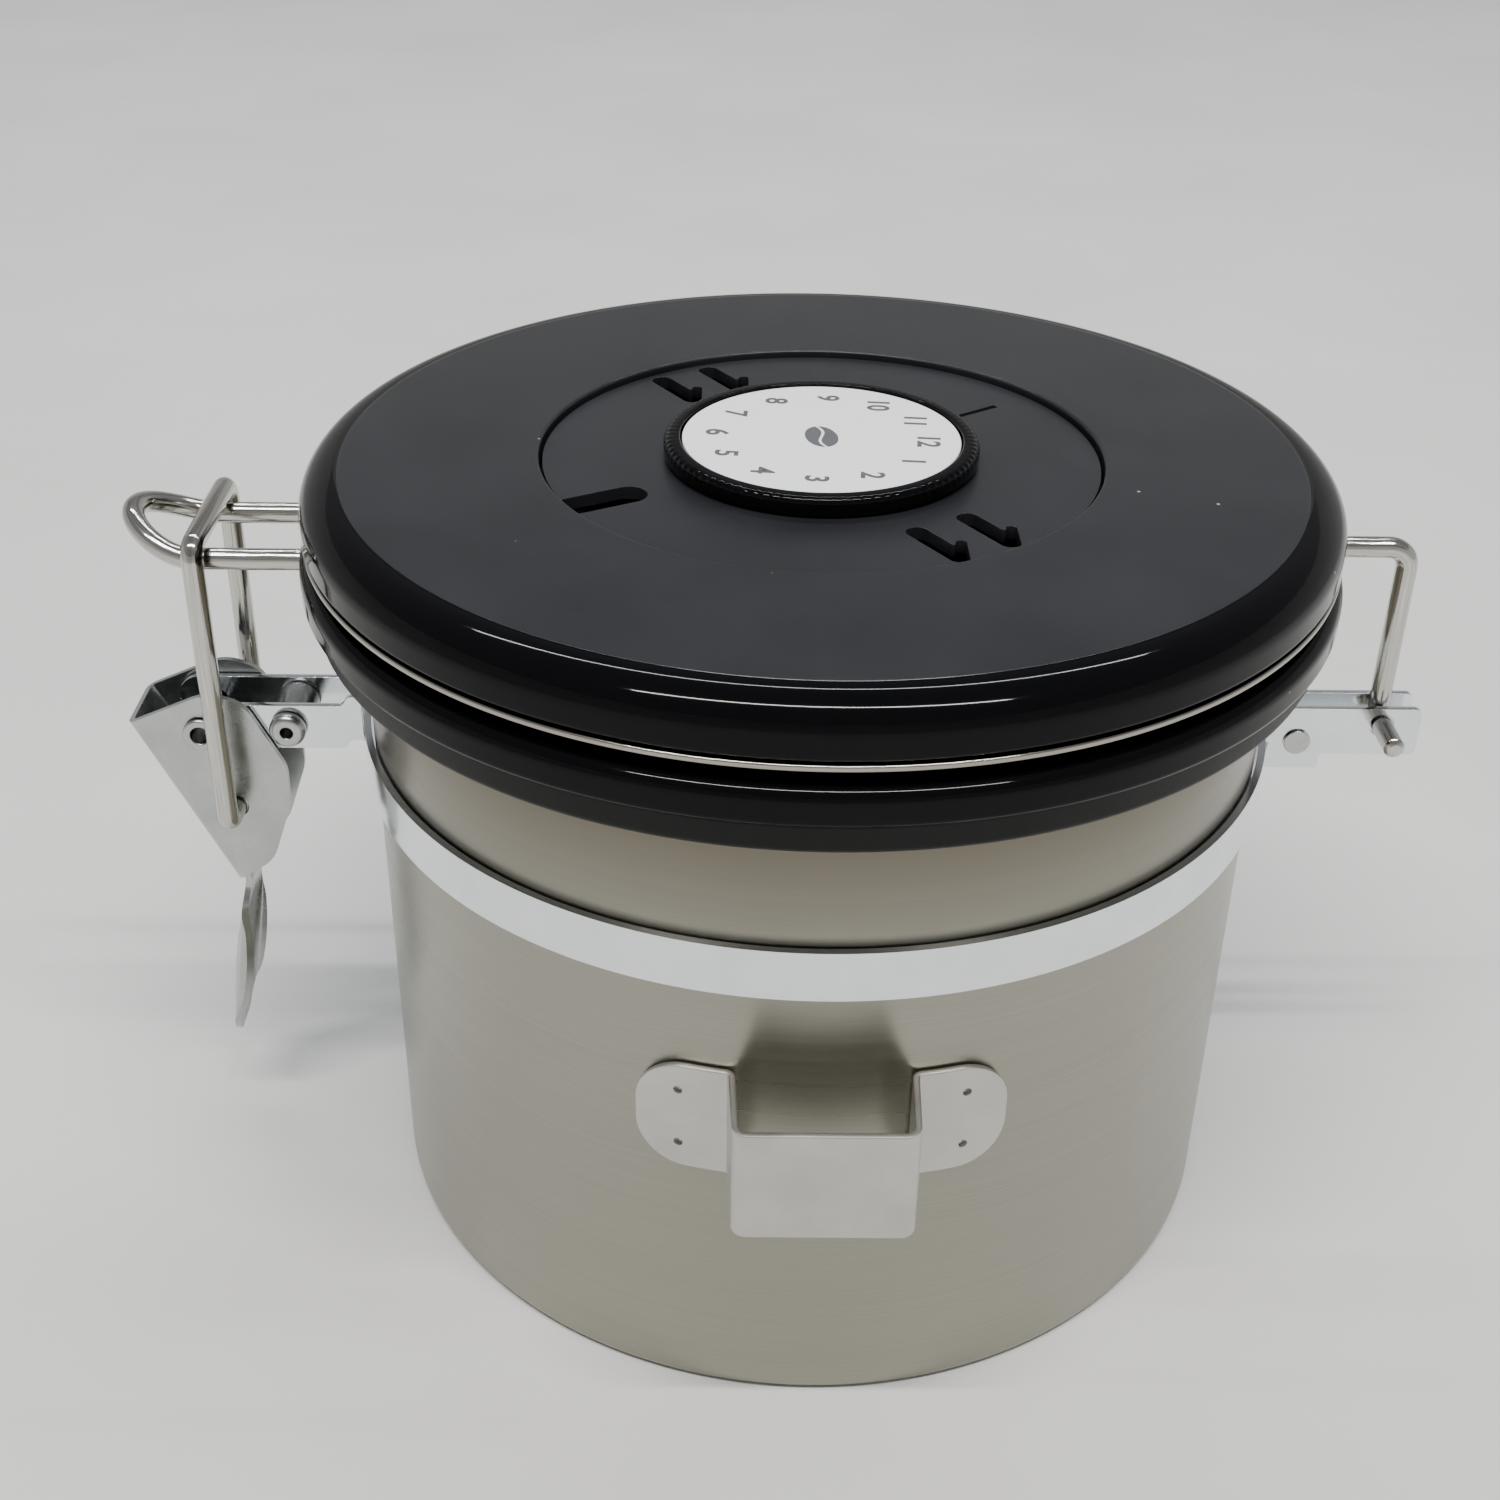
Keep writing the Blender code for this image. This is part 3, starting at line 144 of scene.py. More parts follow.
# ---- shape helpers
def polar(radius, angle):
    """Point of the X-Y plane at this distance and bearing from the origin."""
    return Vector((radius * math.cos(angle), radius * math.sin(angle)))


def rounded(corners, closed=False, step=FINE):
    """Points of a polyline whose corners, given as (point, radius), become arcs."""
    points = []
    count = len(corners)
    for index, (corner, radius) in enumerate(corners):
        corner = Vector(corner)
        if radius == 0 or not closed and index in (0, count - 1):
            points.append(corner)
            continue
        before = (Vector(corners[index - 1][0]) - corner).normalized()
        after = (Vector(corners[(index + 1) % count][0]) - corner).normalized()
        opening = before.angle(after)
        turn = math.pi - opening
        centre = corner + (before + after).normalized() * radius / math.sin(opening / 2)
        first = corner + before * radius / math.tan(opening / 2) - centre
        last = corner + after * radius / math.tan(opening / 2) - centre
        steps = max(2, math.ceil(turn / step))
        for number in range(steps + 1):
            part = number / steps
            swing = math.sin((1 - part) * turn) * first + math.sin(part * turn) * last
            points.append(centre + swing / math.sin(turn))
    return points


def mirrored(corners, axis):
    """The same corners in reverse order and beyond zero along one axis."""
    return [([-value if number == axis else value for number, value in enumerate(place)], radius)
            for place, radius in reversed(corners)]


def arc(radius, start, end, step=math.radians(2)):
    """Points on a circle about the origin, both ends included."""
    steps = max(2, math.ceil(abs(end - start) / step))
    return [polar(radius, start + (end - start) * number / steps) for number in range(steps + 1)]


def circle(centre, radius, steps=32):
    """Closed outline of a round hole."""
    return [Vector(centre) + point for point in arc(radius, 0, 2 * math.pi, 2 * math.pi / steps)[:-1]]


def adjust(target, **values):
    """Set several properties of a thing, and return it."""
    for name, value in values.items():
        setattr(target, name, value)
    return target


def opened(mesh):
    """Copy of a mesh to work on."""
    work = bmesh.new()
    work.from_mesh(mesh)
    return work


def closed_up(work, mesh):
    """Write the work back to a mesh."""
    work.to_mesh(mesh)
    work.free()


def placed(name, data, matrix=Matrix()):
    """New object in the scene."""
    obj = bpy.data.objects.new(name, data)
    obj.matrix_world = matrix
    bpy.context.scene.collection.objects.link(obj)
    return obj


def crisp_flats(mesh):
    """Sharpen the edges where a large flat face meets a narrow one, so that it stays flat."""
    least_angle = math.radians(12)
    least_area = 0.5e-6
    least_ratio = 8
    work = opened(mesh)
    for edge in work.edges:
        if len(edge.link_faces) == 2 and edge.calc_face_angle() > least_angle:
            small, large = sorted(face.calc_area() for face in edge.link_faces)
            if large > least_area and large > least_ratio * small:
                edge.smooth = False
    closed_up(work, mesh)


def link(name, work, sharp=32):
    """Object of the work, smooth but for edges sharper than this many degrees."""
    mesh = bpy.data.meshes.new(name)
    closed_up(work, mesh)
    mesh.shade_smooth()
    mesh.set_sharp_from_angle(angle=math.radians(sharp))
    crisp_flats(mesh)
    return placed(name, mesh)


def remake(obj, work):
    """Put the work in the place of an object, under the same name."""
    bmesh.ops.recalc_face_normals(work, faces=work.faces)
    name = obj.name
    bpy.data.objects.remove(obj, do_unlink=True)
    return link(name, work)


def settle(obj):
    """Apply an object's modifiers, or turn a curve into a mesh, in the same place."""
    bpy.context.view_layer.update()
    evaluated = obj.evaluated_get(bpy.context.evaluated_depsgraph_get())
    work = opened(bpy.data.meshes.new_from_object(evaluated))
    work.transform(obj.matrix_world)
    bmesh.ops.remove_doubles(work, verts=work.verts, dist=0.000004)
    return remake(obj, work)


def supported(profile, closed):
    """Profile with a point close to each end of its long runs, which keeps them flat."""
    near = 0.0002
    points = []
    for index, point in enumerate(profile):
        points.append(point)
        if index == len(profile) - 1 and not closed:
            break
        after = profile[(index + 1) % len(profile)]
        run = (after - point).length
        if run > 6 * near:
            points += [point.lerp(after, near / run), after.lerp(point, near / run)]
    return points


def lathe(name, corners, closed=True, steps=192, ripple=None, sharp=32):
    """Turn (radius, height) corners about Z; the profile runs down its outer side."""
    work = bmesh.new()
    rings = []
    for radius, height in supported(rounded(corners, closed), closed):
        ring = []
        for number in range(steps if radius > 0 else 1):
            angle = 2 * math.pi * number / steps
            out = ripple(angle, radius, height) if ripple else radius
            ring.append(work.verts.new((*polar(out, angle), height)))
        rings.append(ring)
    pairs = list(zip(rings, rings[1:]))
    if closed:
        pairs.append((rings[-1], rings[0]))
    for upper, lower in pairs:
        for number in range(steps):
            after = (number + 1) % steps
            face = [upper[number % len(upper)], lower[number % len(lower)],
                    lower[after % len(lower)], upper[after % len(upper)]]
            work.faces.new(list(dict.fromkeys(face)))
    return link(name, work, sharp)


def plate(name, outline, thickness, edge, holes=()):
    """Flat plate in X-Y about Z = 0, with holes and rounded edges."""
    curve = adjust(bpy.data.curves.new(name, "CURVE"), dimensions="2D", fill_mode="BOTH",
                   extrude=thickness / 2)
    for loop in (outline, *holes):
        spline = curve.splines.new("POLY")
        spline.points.add(len(loop) - 1)
        for place, point in zip(spline.points, loop):
            place.co = (point[0], point[1], 0.0, 1.0)
        spline.use_cyclic_u = True
    flat = settle(placed(name, curve))
    work = opened(flat.data)
    bmesh.ops.dissolve_limit(work, angle_limit=math.radians(1), verts=work.verts, edges=work.edges)
    closed_up(work, flat.data)
    adjust(flat.modifiers.new("Edges", "BEVEL"), width=edge, segments=2, limit_method="ANGLE",
           angle_limit=math.radians(30))
    return settle(flat)


def cut_at(work, places, normal):
    """Cut a mesh by planes across one direction, so that it can bend there."""
    for place in places:
        everything = work.verts[:] + work.edges[:] + work.faces[:]
        bmesh.ops.bisect_plane(work, geom=everything, plane_co=Vector(normal) * place,
                               plane_no=normal, dist=0.000002)


def lengths(path):
    """Distance of each point of a polyline from its start."""
    distances = [0.0]
    for before, after in zip(path, path[1:]):
        distances.append(distances[-1] + (after - before).length)
    return distances


def heading(path, index):
    """Direction of a polyline at one of its points."""
    return (path[min(index + 1, len(path) - 1)] - path[max(index - 1, 0)]).normalized()


def along(path, distances, distance):
    """Point and direction of a polyline at a distance along it."""
    index = 0
    while index < len(path) - 2 and distances[index + 1] < distance:
        index += 1
    part = (distance - distances[index]) / (distances[index + 1] - distances[index])
    point = path[index].lerp(path[index + 1], part)
    ahead = heading(path, index).lerp(heading(path, index + 1), min(max(part, 0), 1))
    return point, ahead.normalized()


def fold(flat, path):
    """Bend a flat plate so that its X runs along a path and its Y becomes the height."""
    distances = lengths(path)
    work = opened(flat.data)
    cut_at(work, distances[1:-1], (1, 0, 0))
    for vert in work.verts:
        point, ahead = along(path, distances, vert.co.x)
        place = point + Vector((-ahead.y, ahead.x)) * vert.co.z
        vert.co = (place.x, place.y, vert.co.y)
    return remake(flat, work)


def tube(name, corners, sides=20, dome=0.35):
    """Round wire along a path, its ends a little domed; it stores how far along and round."""
    path = rounded(corners)
    distances = lengths(path)
    side = (path[1] - path[0]).orthogonal().normalized()
    work = bmesh.new()
    rings = []
    stations = []
    for index, point in enumerate(path):
        ahead = heading(path, index)
        side = (side - ahead * side.dot(ahead)).normalized()
        up = ahead.cross(side)
        end = {0: -1, len(path) - 1: 1}.get(index, 0)
        steps = [(0, 1)]
        if end:
            steps = [(dome * WIRE_RADIUS * end * (reach - 1), size)
                     for reach, size in ((0.0, 1.0), (0.6, 0.85), (1.0, 0.5))][::end]
        for shift, size in steps:
            ring = []
            for number in range(sides):
                angle = 2 * math.pi * number / sides
                out = (side * math.cos(angle) + up * math.sin(angle)) * WIRE_RADIUS * size
                ring.append(work.verts.new(point + ahead * shift + out))
                stations += [distances[index], *polar(WIRE_RADIUS, angle)]
            rings.append(ring)
    for before, after in zip(rings, rings[1:]):
        for number in range(sides):
            turn = (number + 1) % sides
            work.faces.new((before[number], before[turn], after[turn], after[number]))
    work.faces.new(rings[0][::-1])
    work.faces.new(rings[-1])
    wire = link(name, work, 40)
    wire.data.attributes.new("drawn", "FLOAT_VECTOR", "POINT").data.foreach_set("vector", stations)
    return wire


def drum(name, radius, start, end, steps=24):
    """Cylinder between two points, used only to cut."""
    start = Vector(start)
    end = Vector(end)
    work = bmesh.new()
    bmesh.ops.create_cone(work, cap_ends=True, segments=steps, radius1=radius, radius2=radius,
                          depth=(end - start).length)
    turn = (end - start).to_track_quat("Z", "Y").to_matrix().to_4x4()
    work.transform(Matrix.Translation((start + end) / 2) @ turn)
    return link(name, work)


def block(name, corner, opposite):
    """Box between two corners, used only to cut."""
    work = bmesh.new()
    bmesh.ops.create_cube(work, size=1.0)
    size = Vector(opposite) - Vector(corner)
    bmesh.ops.scale(work, vec=size, verts=work.verts)
    bmesh.ops.translate(work, vec=Vector(corner) + size / 2, verts=work.verts)
    return link(name, work)


def cut(target, cutters):
    """Subtract each cutter from a piece, and apply the cuts."""
    for cutter in cutters:
        adjust(target.modifiers.new(cutter.name, "BOOLEAN"), operation="DIFFERENCE",
               solver="EXACT", object=cutter)
    target = settle(target)
    for cutter in cutters:
        bpy.data.objects.remove(cutter, do_unlink=True)
    return target


def turn_on_y(obj, x, z):
    """Lay a piece turned about Z along the world's Y, through a point of the X-Z plane."""
    obj.data.transform(Matrix.Translation((x, 0, z)) @ Matrix.Rotation(math.radians(90), 4, "X"))
    return obj


# ---- shader helpers
def feed(tree, socket, value):
    """Link a socket to another one, or set it to a number, a vector or a colour."""
    if isinstance(value, bpy.types.NodeSocket):
        tree.links.new(value, socket)
    else:
        socket.default_value = (*value, 1.0) if socket.type == "RGBA" else value


def add_node(tree, kind, output, inputs, **properties):
    """Add a node, feed its inputs and return one of its outputs."""
    node = adjust(tree.nodes.new("ShaderNode" + kind), **properties)
    for label, value in inputs.items():
        feed(tree, node.inputs[label], value)
    return node.outputs[output]


def math_node(tree, operation, first, second):
    """Result of a product or a comparison."""
    return add_node(tree, "Math", "Value", {0: first, 1: second}, operation=operation)


def noise(tree, vector, scale, detail=2.0, roughness=0.5):
    """Value of a noise at a place."""
    return add_node(tree, "TexNoise", "Fac", {"Vector": vector, "Scale": scale, "Detail": detail,
                                              "Roughness": roughness})


def spread(tree, value, start, end):
    """Stretch a value so that start becomes 0 and end becomes 1."""
    return add_node(tree, "MapRange", "Result", {"Value": value, "From Min": start, "From Max": end})


def spot(tree):
    """Place in the object's own frame."""
    return add_node(tree, "TexCoord", "Object", {})


def node_group(name, inputs, outputs):
    """Empty shader group, its inputs floats with these defaults and its outputs floats."""
    group = bpy.data.node_groups.new(name, "ShaderNodeTree")
    for label, value in inputs.items():
        socket = group.interface.new_socket(name=label, in_out="INPUT", socket_type="NodeSocketFloat")
        socket.default_value = value
    for label in outputs:
        group.interface.new_socket(name=label, in_out="OUTPUT", socket_type="NodeSocketFloat")
    given = group.nodes.new("NodeGroupInput").outputs
    return group, given, group.nodes.new("NodeGroupOutput").inputs


def brushed_group():
    """Fine lines that run level round a turned wall, and the broader bands among them."""
    group, given, out = node_group("brushed_lines", {"Lines": 5200.0, "Run": 12.0}, ["Lines", "Bands"])
    scale = add_node(group, "CombineXYZ", "Vector",
                     {"X": given["Run"], "Y": given["Run"], "Z": given["Lines"]})
    where = add_node(group, "VectorMath", "Vector", {0: spot(group), 1: scale}, operation="MULTIPLY")
    lines = noise(group, where, 1.0, 3.0, 0.6)
    bands = noise(group, where, 0.12)
    feed(group, out["Lines"], spread(group, lines, 0.25, 0.75))
    feed(group, out["Bands"], spread(group, bands, 0.3, 0.7))
    return group


def drawn_group():
    """Die lines that run along a drawn wire."""
    group, given, out = node_group("drawn_lines", {"Fineness": 5000.0}, ["Lines"])
    station = add_node(group, "Attribute", "Vector", {}, attribute_name="drawn")
    squeezed = add_node(group, "VectorMath", "Vector", {0: station, 1: (0.015, 1.0, 1.0)},
                        operation="MULTIPLY")
    lines = noise(group, squeezed, given["Fineness"], 2.0, 0.6)
    feed(group, out["Lines"], spread(group, lines, 0.3, 0.7))
    return group


def clouds_group():
    """Soft uneven patches, as on plated sheet or handled plastic."""
    group, given, out = node_group("clouds", {"Scale": 150.0}, ["Patches"])
    patches = noise(group, spot(group), given["Scale"], 4.0, 0.55)
    feed(group, out["Patches"], spread(group, patches, 0.3, 0.7))
    return group


def grain_group():
    """Even fine grain of moulded or blasted surfaces."""
    group, given, out = node_group("fine_grain", {"Scale": 5500.0}, ["Grain"])
    feed(group, out["Grain"], noise(group, spot(group), given["Scale"]))
    return group


def dust_group():
    """Sparse pale specks of dust; Amount is the share of cells that hold one."""
    group, given, out = node_group("dust", {"Scale": 420.0, "Amount": 0.03}, ["Specks"])
    cells = group.nodes.new("ShaderNodeTexVoronoi")
    feed(group, cells.inputs["Vector"], spot(group))
    feed(group, cells.inputs["Scale"], given["Scale"])
    chance = add_node(group, "SeparateColor", "Red", {"Color": cells.outputs["Color"]})
    chosen = math_node(group, "LESS_THAN", chance, given["Amount"])
    near = math_node(group, "LESS_THAN", cells.outputs["Distance"], 0.10)
    feed(group, out["Specks"], math_node(group, "MULTIPLY", chosen, near))
    return group


GROUPS = {"brushed": brushed_group(), "drawn": drawn_group(), "clouds": clouds_group(),
          "grain": grain_group(), "dust": dust_group()}
FINISHES = {}


class Finish:
    """A material under construction: its node tree and its Principled shader."""

    def __init__(self, name, metallic=0.0, **sockets):
        self.material = bpy.data.materials.new(name)
        FINISHES[name] = self.material
        self.material.use_nodes = True
        self.tree = self.material.node_tree
        self.shader = self.tree.nodes["Principled BSDF"]
        self.give(Metallic=metallic, **sockets)

    def give(self, **sockets):
        """Feed inputs of the shader."""
        for label, value in sockets.items():
            feed(self.tree, self.shader.inputs[label.replace("_", " ")], value)

    def effect(self, name, output=0, **values):
        """Place a shared effect and return its first output, or the one that is named."""
        return add_node(self.tree, "Group", output, values, node_tree=GROUPS[name])

    def colour(self, mask, first, second):
        """Base colour between two colours by a mask; returns the mixed colour."""
        mixed = add_node(self.tree, "Mix", "Result", {"A": first, "B": second, "Factor": mask},
                         data_type="RGBA")
        self.give(Base_Color=mixed)
        return mixed

    def roughness(self, mask, smooth, rough):
        """Roughness between two values by a mask."""
        reach = {"Value": mask, "To Min": smooth, "To Max": rough}
        self.give(Roughness=add_node(self.tree, "MapRange", "Result", reach))

    def bump(self, height, depth):
        """Relief whose height mask rises by this depth in metres."""
        relief = {"Height": height, "Distance": depth}
        self.give(Normal=add_node(self.tree, "Bump", "Normal", relief))

    def height(self, start, end, least=0.35):
        """Mask that grows from its least value to 1 between two heights, and is 0 below them."""
        z = add_node(self.tree, "SeparateXYZ", "Z", {"Vector": spot(self.tree)})
        rise = spread(self.tree, z, start - least * (end - start), end)
        above = math_node(self.tree, "GREATER_THAN", z, start - 0.002)
        return math_node(self.tree, "MULTIPLY", rise, above)

    def streak(self, amount):
        """Stretch the gloss across level brush lines."""
        tangent = add_node(self.tree, "Tangent", "Tangent", {}, direction_type="RADIAL", axis="Z")
        self.give(Tangent=tangent, Anisotropic=amount, Anisotropic_Rotation=0.25)


# ---- finishes
def brushed_steel():
    """Warm grey sheet with level brush lines; its neck carries painted shade, a darker colour that
    stands in for the lid's dark reflection.
    """
    finish = Finish("brushed_steel", 1.0)
    lines = finish.effect("brushed")
    wall = finish.colour(lines, (0.290, 0.281, 0.239), (0.330, 0.321, 0.273))
    # Painted reflection: the base colour darkens up the neck towards the rim, standing in for the
    # lid's dark reflection.
    finish.colour(finish.height(STRAP_HIGH, RIM_TOP - 0.0030), wall, (0.150, 0.134, 0.103))
    finish.roughness(finish.effect("brushed", "Bands"), 0.27, 0.31)
    finish.bump(lines, 0.0000022)
    finish.streak(0.65)


def bright_steel():
    """Polished cold-rolled strip."""
    finish = Finish("bright_steel", 1.0)
    lines = finish.effect("brushed", Lines=3000.0, Run=20.0)
    finish.colour(finish.effect("clouds"), (0.74, 0.77, 0.79), (0.82, 0.84, 0.86))
    finish.roughness(lines, 0.10, 0.17)
    finish.bump(lines, 0.000002)


def pan_steel():
    """Bright, slightly warm steel of the lid's pan."""
    finish = Finish("pan_steel", 1.0)
    lines = finish.effect("brushed", Lines=4000.0, Run=20.0)
    finish.colour(lines, (0.30, 0.28, 0.245), (0.42, 0.395, 0.35))
    finish.roughness(lines, 0.12, 0.20)


def steel_wire():
    """Bright drawn wire."""
    finish = Finish("steel_wire", 1.0)
    lines = finish.effect("drawn")
    finish.colour(lines, (0.42, 0.405, 0.365), (0.64, 0.625, 0.59))
    finish.roughness(lines, 0.08, 0.16)
    finish.bump(lines, 0.000012)


def zinc_steel():
    """Zinc-plated pressing, faintly cloudy."""
    finish = Finish("zinc_steel", 1.0)
    patches = finish.effect("clouds", Scale=170.0)
    finish.colour(patches, (0.40, 0.415, 0.405), (0.50, 0.515, 0.505))
    finish.roughness(patches, 0.22, 0.31)
    finish.bump(finish.effect("grain", Scale=2600.0), 0.000004)


def satin_steel():
    """Blasted pale sheet of the scoop bracket."""
    finish = Finish("satin_steel", 1.0)
    patches = finish.effect("clouds", Scale=140.0)
    finish.colour(patches, (0.49, 0.48, 0.455), (0.57, 0.56, 0.53))
    finish.roughness(patches, 0.38, 0.46)
    finish.bump(finish.effect("grain", Scale=3500.0), 0.000006)


def satin_black():
    """Lid top: satin plastic with a fine grain and a little dust."""
    finish = Finish("satin_black", Specular_IOR_Level=0.28)
    patches = finish.effect("clouds", Scale=60.0)
    base = finish.colour(patches, (0.012, 0.0125, 0.015), (0.017, 0.0175, 0.021))
    finish.colour(finish.effect("dust", Amount=0.012), base, (0.30, 0.30, 0.30))
    finish.roughness(finish.effect("clouds", Scale=30.0), 0.27, 0.33)
    finish.bump(finish.effect("grain"), 0.000008)


def gloss_black():
    """High-gloss moulded plastic."""
    finish = Finish("gloss_black", Specular_IOR_Level=0.12)
    dust = finish.effect("dust", Amount=0.010)
    finish.colour(dust, (0.0020, 0.0020, 0.0026), (0.20, 0.20, 0.20))
    finish.roughness(finish.effect("clouds", Scale=90.0), 0.035, 0.075)


def black_rubber():
    """Matte silicone seal."""
    finish = Finish("black_rubber", Specular_IOR_Level=0.2)
    finish.colour(finish.effect("clouds"), (0.003, 0.003, 0.003), (0.006, 0.006, 0.006))
    finish.roughness(finish.effect("grain", Scale=1800.0), 0.34, 0.46)
    finish.bump(finish.effect("grain", Scale=4000.0), 0.00001)


def moulded_black():
    """Plain black plastic of the pieces under the lid."""
    finish = Finish("moulded_black")
    patches = finish.effect("clouds", Scale=120.0)
    finish.colour(patches, (0.012, 0.012, 0.013), (0.020, 0.020, 0.021))
    finish.roughness(patches, 0.32, 0.45)
    finish.bump(finish.effect("grain"), 0.000008)


def dial_white():
    """White printed card under a clear film."""
    finish = Finish("dial_white", Coat_Weight=0.3, Coat_Roughness=0.1)
    grain = finish.effect("grain", Scale=2200.0)
    finish.colour(grain, (0.90, 0.91, 0.94), (0.94, 0.95, 0.97))
    finish.roughness(grain, 0.30, 0.42)


def dial_ink():
    """Dark grey ink."""
    finish = Finish("dial_ink")
    grain = finish.effect("grain", Scale=3500.0)
    finish.colour(grain, (0.05, 0.05, 0.06), (0.12, 0.12, 0.13))
    finish.roughness(grain, 0.4, 0.6)


def clear_silicone():
    """Milky rubber of the valve's flap."""
    finish = Finish("clear_silicone", Subsurface_Weight=0.3, Subsurface_Scale=0.001)
    patches = finish.effect("clouds", Scale=300.0)
    finish.colour(patches, (0.66, 0.67, 0.66), (0.76, 0.77, 0.76))
    finish.roughness(patches, 0.35, 0.5)


def filter_felt():
    """Pale pressed fibres."""
    finish = Finish("filter_felt", Sheen_Weight=0.4)
    fibres = finish.effect("grain", Scale=2500.0)
    finish.colour(fibres, (0.60, 0.57, 0.50), (0.82, 0.80, 0.74))
    finish.roughness(fibres, 0.85, 1.0)
    finish.bump(fibres, 0.00008)


for mix_finish in (brushed_steel, bright_steel, pan_steel, steel_wire, zinc_steel, satin_steel,
                   satin_black, gloss_black, black_rubber, moulded_black, dial_white, dial_ink,
                   clear_silicone, filter_felt):
    mix_finish()


def finish_piece(obj, body, slot, *nodes, finish=None):
    """Give a piece its finish, its body and the frame nodes that it stands for."""
    obj.data.materials.clear()
    obj.data.materials.append(FINISHES[finish or slot])
    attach(obj, body)
    if nodes:
        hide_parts(*nodes)


# ---- can
def can_shell():
    """Drawn wall with the rolled rim, a faint neck bead and a turned-in foot."""
    roll = 0.00065
    rim_low = RIM_TOP - 0.0026
    bead = 0.0899
    foot = BODY_RADIUS - 0.0075
    corners = [((INNER_RADIUS, RIM_TOP), roll), ((RIM_RADIUS, RIM_TOP), roll),
               ((RIM_RADIUS, rim_low), roll), ((BODY_RADIUS + 0.0004, rim_low - 0.0004), 0),
               ((BODY_RADIUS + 0.00035, bead), 0.0004), ((BODY_RADIUS, bead - 0.0007), 0.0004),
               ((BODY_RADIUS, 0), 0.0015), ((foot, 0), 0), ((foot, WALL), 0),
               ((INNER_RADIUS, WALL), 0.0011)]
    finish_piece(lathe("can_wall", corners, steps=288), "canister", "brushed_steel", "can_shell")


def can_base():
    """Base pan with a pressed ring."""
    rest = WALL + TOUCH
    edge = INNER_RADIUS - 0.0015 - TOUCH
    ring = 0.0505
    corners = [((0, WALL), 0), ((0.0485, WALL), 0.0008), ((ring, rest + WALL), 0.0008),
               ((edge, rest + WALL), 0.0002), ((edge, rest), 0.0002), ((ring, rest), 0.0006),
               ((0.0495, 0), 0.0006), ((0, 0), 0)]
    finish_piece(lathe("base_pan", corners, closed=False), "canister", "brushed_steel", "can_base")


def strap_path(side):
    """Plan of a strap half, from the latch ear's end to the hinge ear's end."""
    latch_angle = math.pi - math.asin(LATCH_EAR_Y / STRAP_RADIUS)
    hinge_angle = math.asin(HINGE_EAR_Y / STRAP_RADIUS)
    neck = arc(STRAP_RADIUS, latch_angle, hinge_angle)
    # The two bends swallow the points next to them, so those are left out.
    corners = [((-LATCH_EAR_END, LATCH_EAR_Y), 0), (neck[0], STRAP_BEND)]
    corners += [(point, 0) for point in neck[3:-3]]
    corners += [(neck[-1], STRAP_BEND), ((HINGE_EAR_END, HINGE_EAR_Y), 0)]
    return [Vector((point.x, point.y * side)) for point in rounded(corners)]


def neck_strap(name, node, side):
    """Half strap cut flat with its ears and holes, then bent round the neck."""
    path = strap_path(side)
    length = lengths(path)[-1]
    near = STRAP_RADIUS + STRAP_SHEET / 2 + STRAP_BEND
    to_blank = length - HINGE_EAR_END      # from X on the hinge ear to the blank's own X
    latch_root = LATCH_EAR_END - near
    hinge_root = to_blank + near
    step = 0.001
    notch = 0.0008
    ear = 0.0031
    corners = [((0, LATCH_EAR_LOW), ear), ((latch_root - step, LATCH_EAR_LOW), notch),
               ((latch_root, STRAP_LOW), notch), ((hinge_root, STRAP_LOW), 0),
               ((hinge_root - 0.0006, HINGE_ROOT_LOW), notch),
               ((to_blank + HINGE_ROOT_END, HINGE_ROOT_LOW), 0.0006),
               ((to_blank + HINGE_ROOT_END, HINGE_EAR_LOW), 0.0006),
               ((length, HINGE_EAR_LOW), 0.0010), ((length, HINGE_EAR_HIGH), 0.0010),
               ((hinge_root + step, HINGE_EAR_HIGH), notch), ((hinge_root, STRAP_HIGH), notch),
               ((latch_root, STRAP_HIGH), notch), ((latch_root - step, LATCH_EAR_HIGH), notch),
               ((0, LATCH_EAR_HIGH), ear)]
    places = [(LATCH_EAR_END + PIVOT.x, PIVOT.z, RIVET_RADIUS),
              (LATCH_EAR_END - LATCH_CLAMP_X, LATCH_CLAMP_Z, RIVET_RADIUS),
              (to_blank + HINGE_CLAMP_X, HINGE_CLAMP_Z, RIVET_RADIUS)]
    if side < 0:
        places.append((to_blank + HINGE.x, HINGE.z, WIRE_RADIUS))
    holes = [circle((x, z), radius + RUN) for x, z, radius in places]
    flat = plate(name, rounded(corners, True), STRAP_SHEET, 0.0002, holes)
    finish_piece(fold(flat, path), "canister", "bright_steel", node)


def neck_straps():
    neck_strap("strap_front", "front_strap", -1)
    neck_strap("strap_rear", "rear_strap", 1)


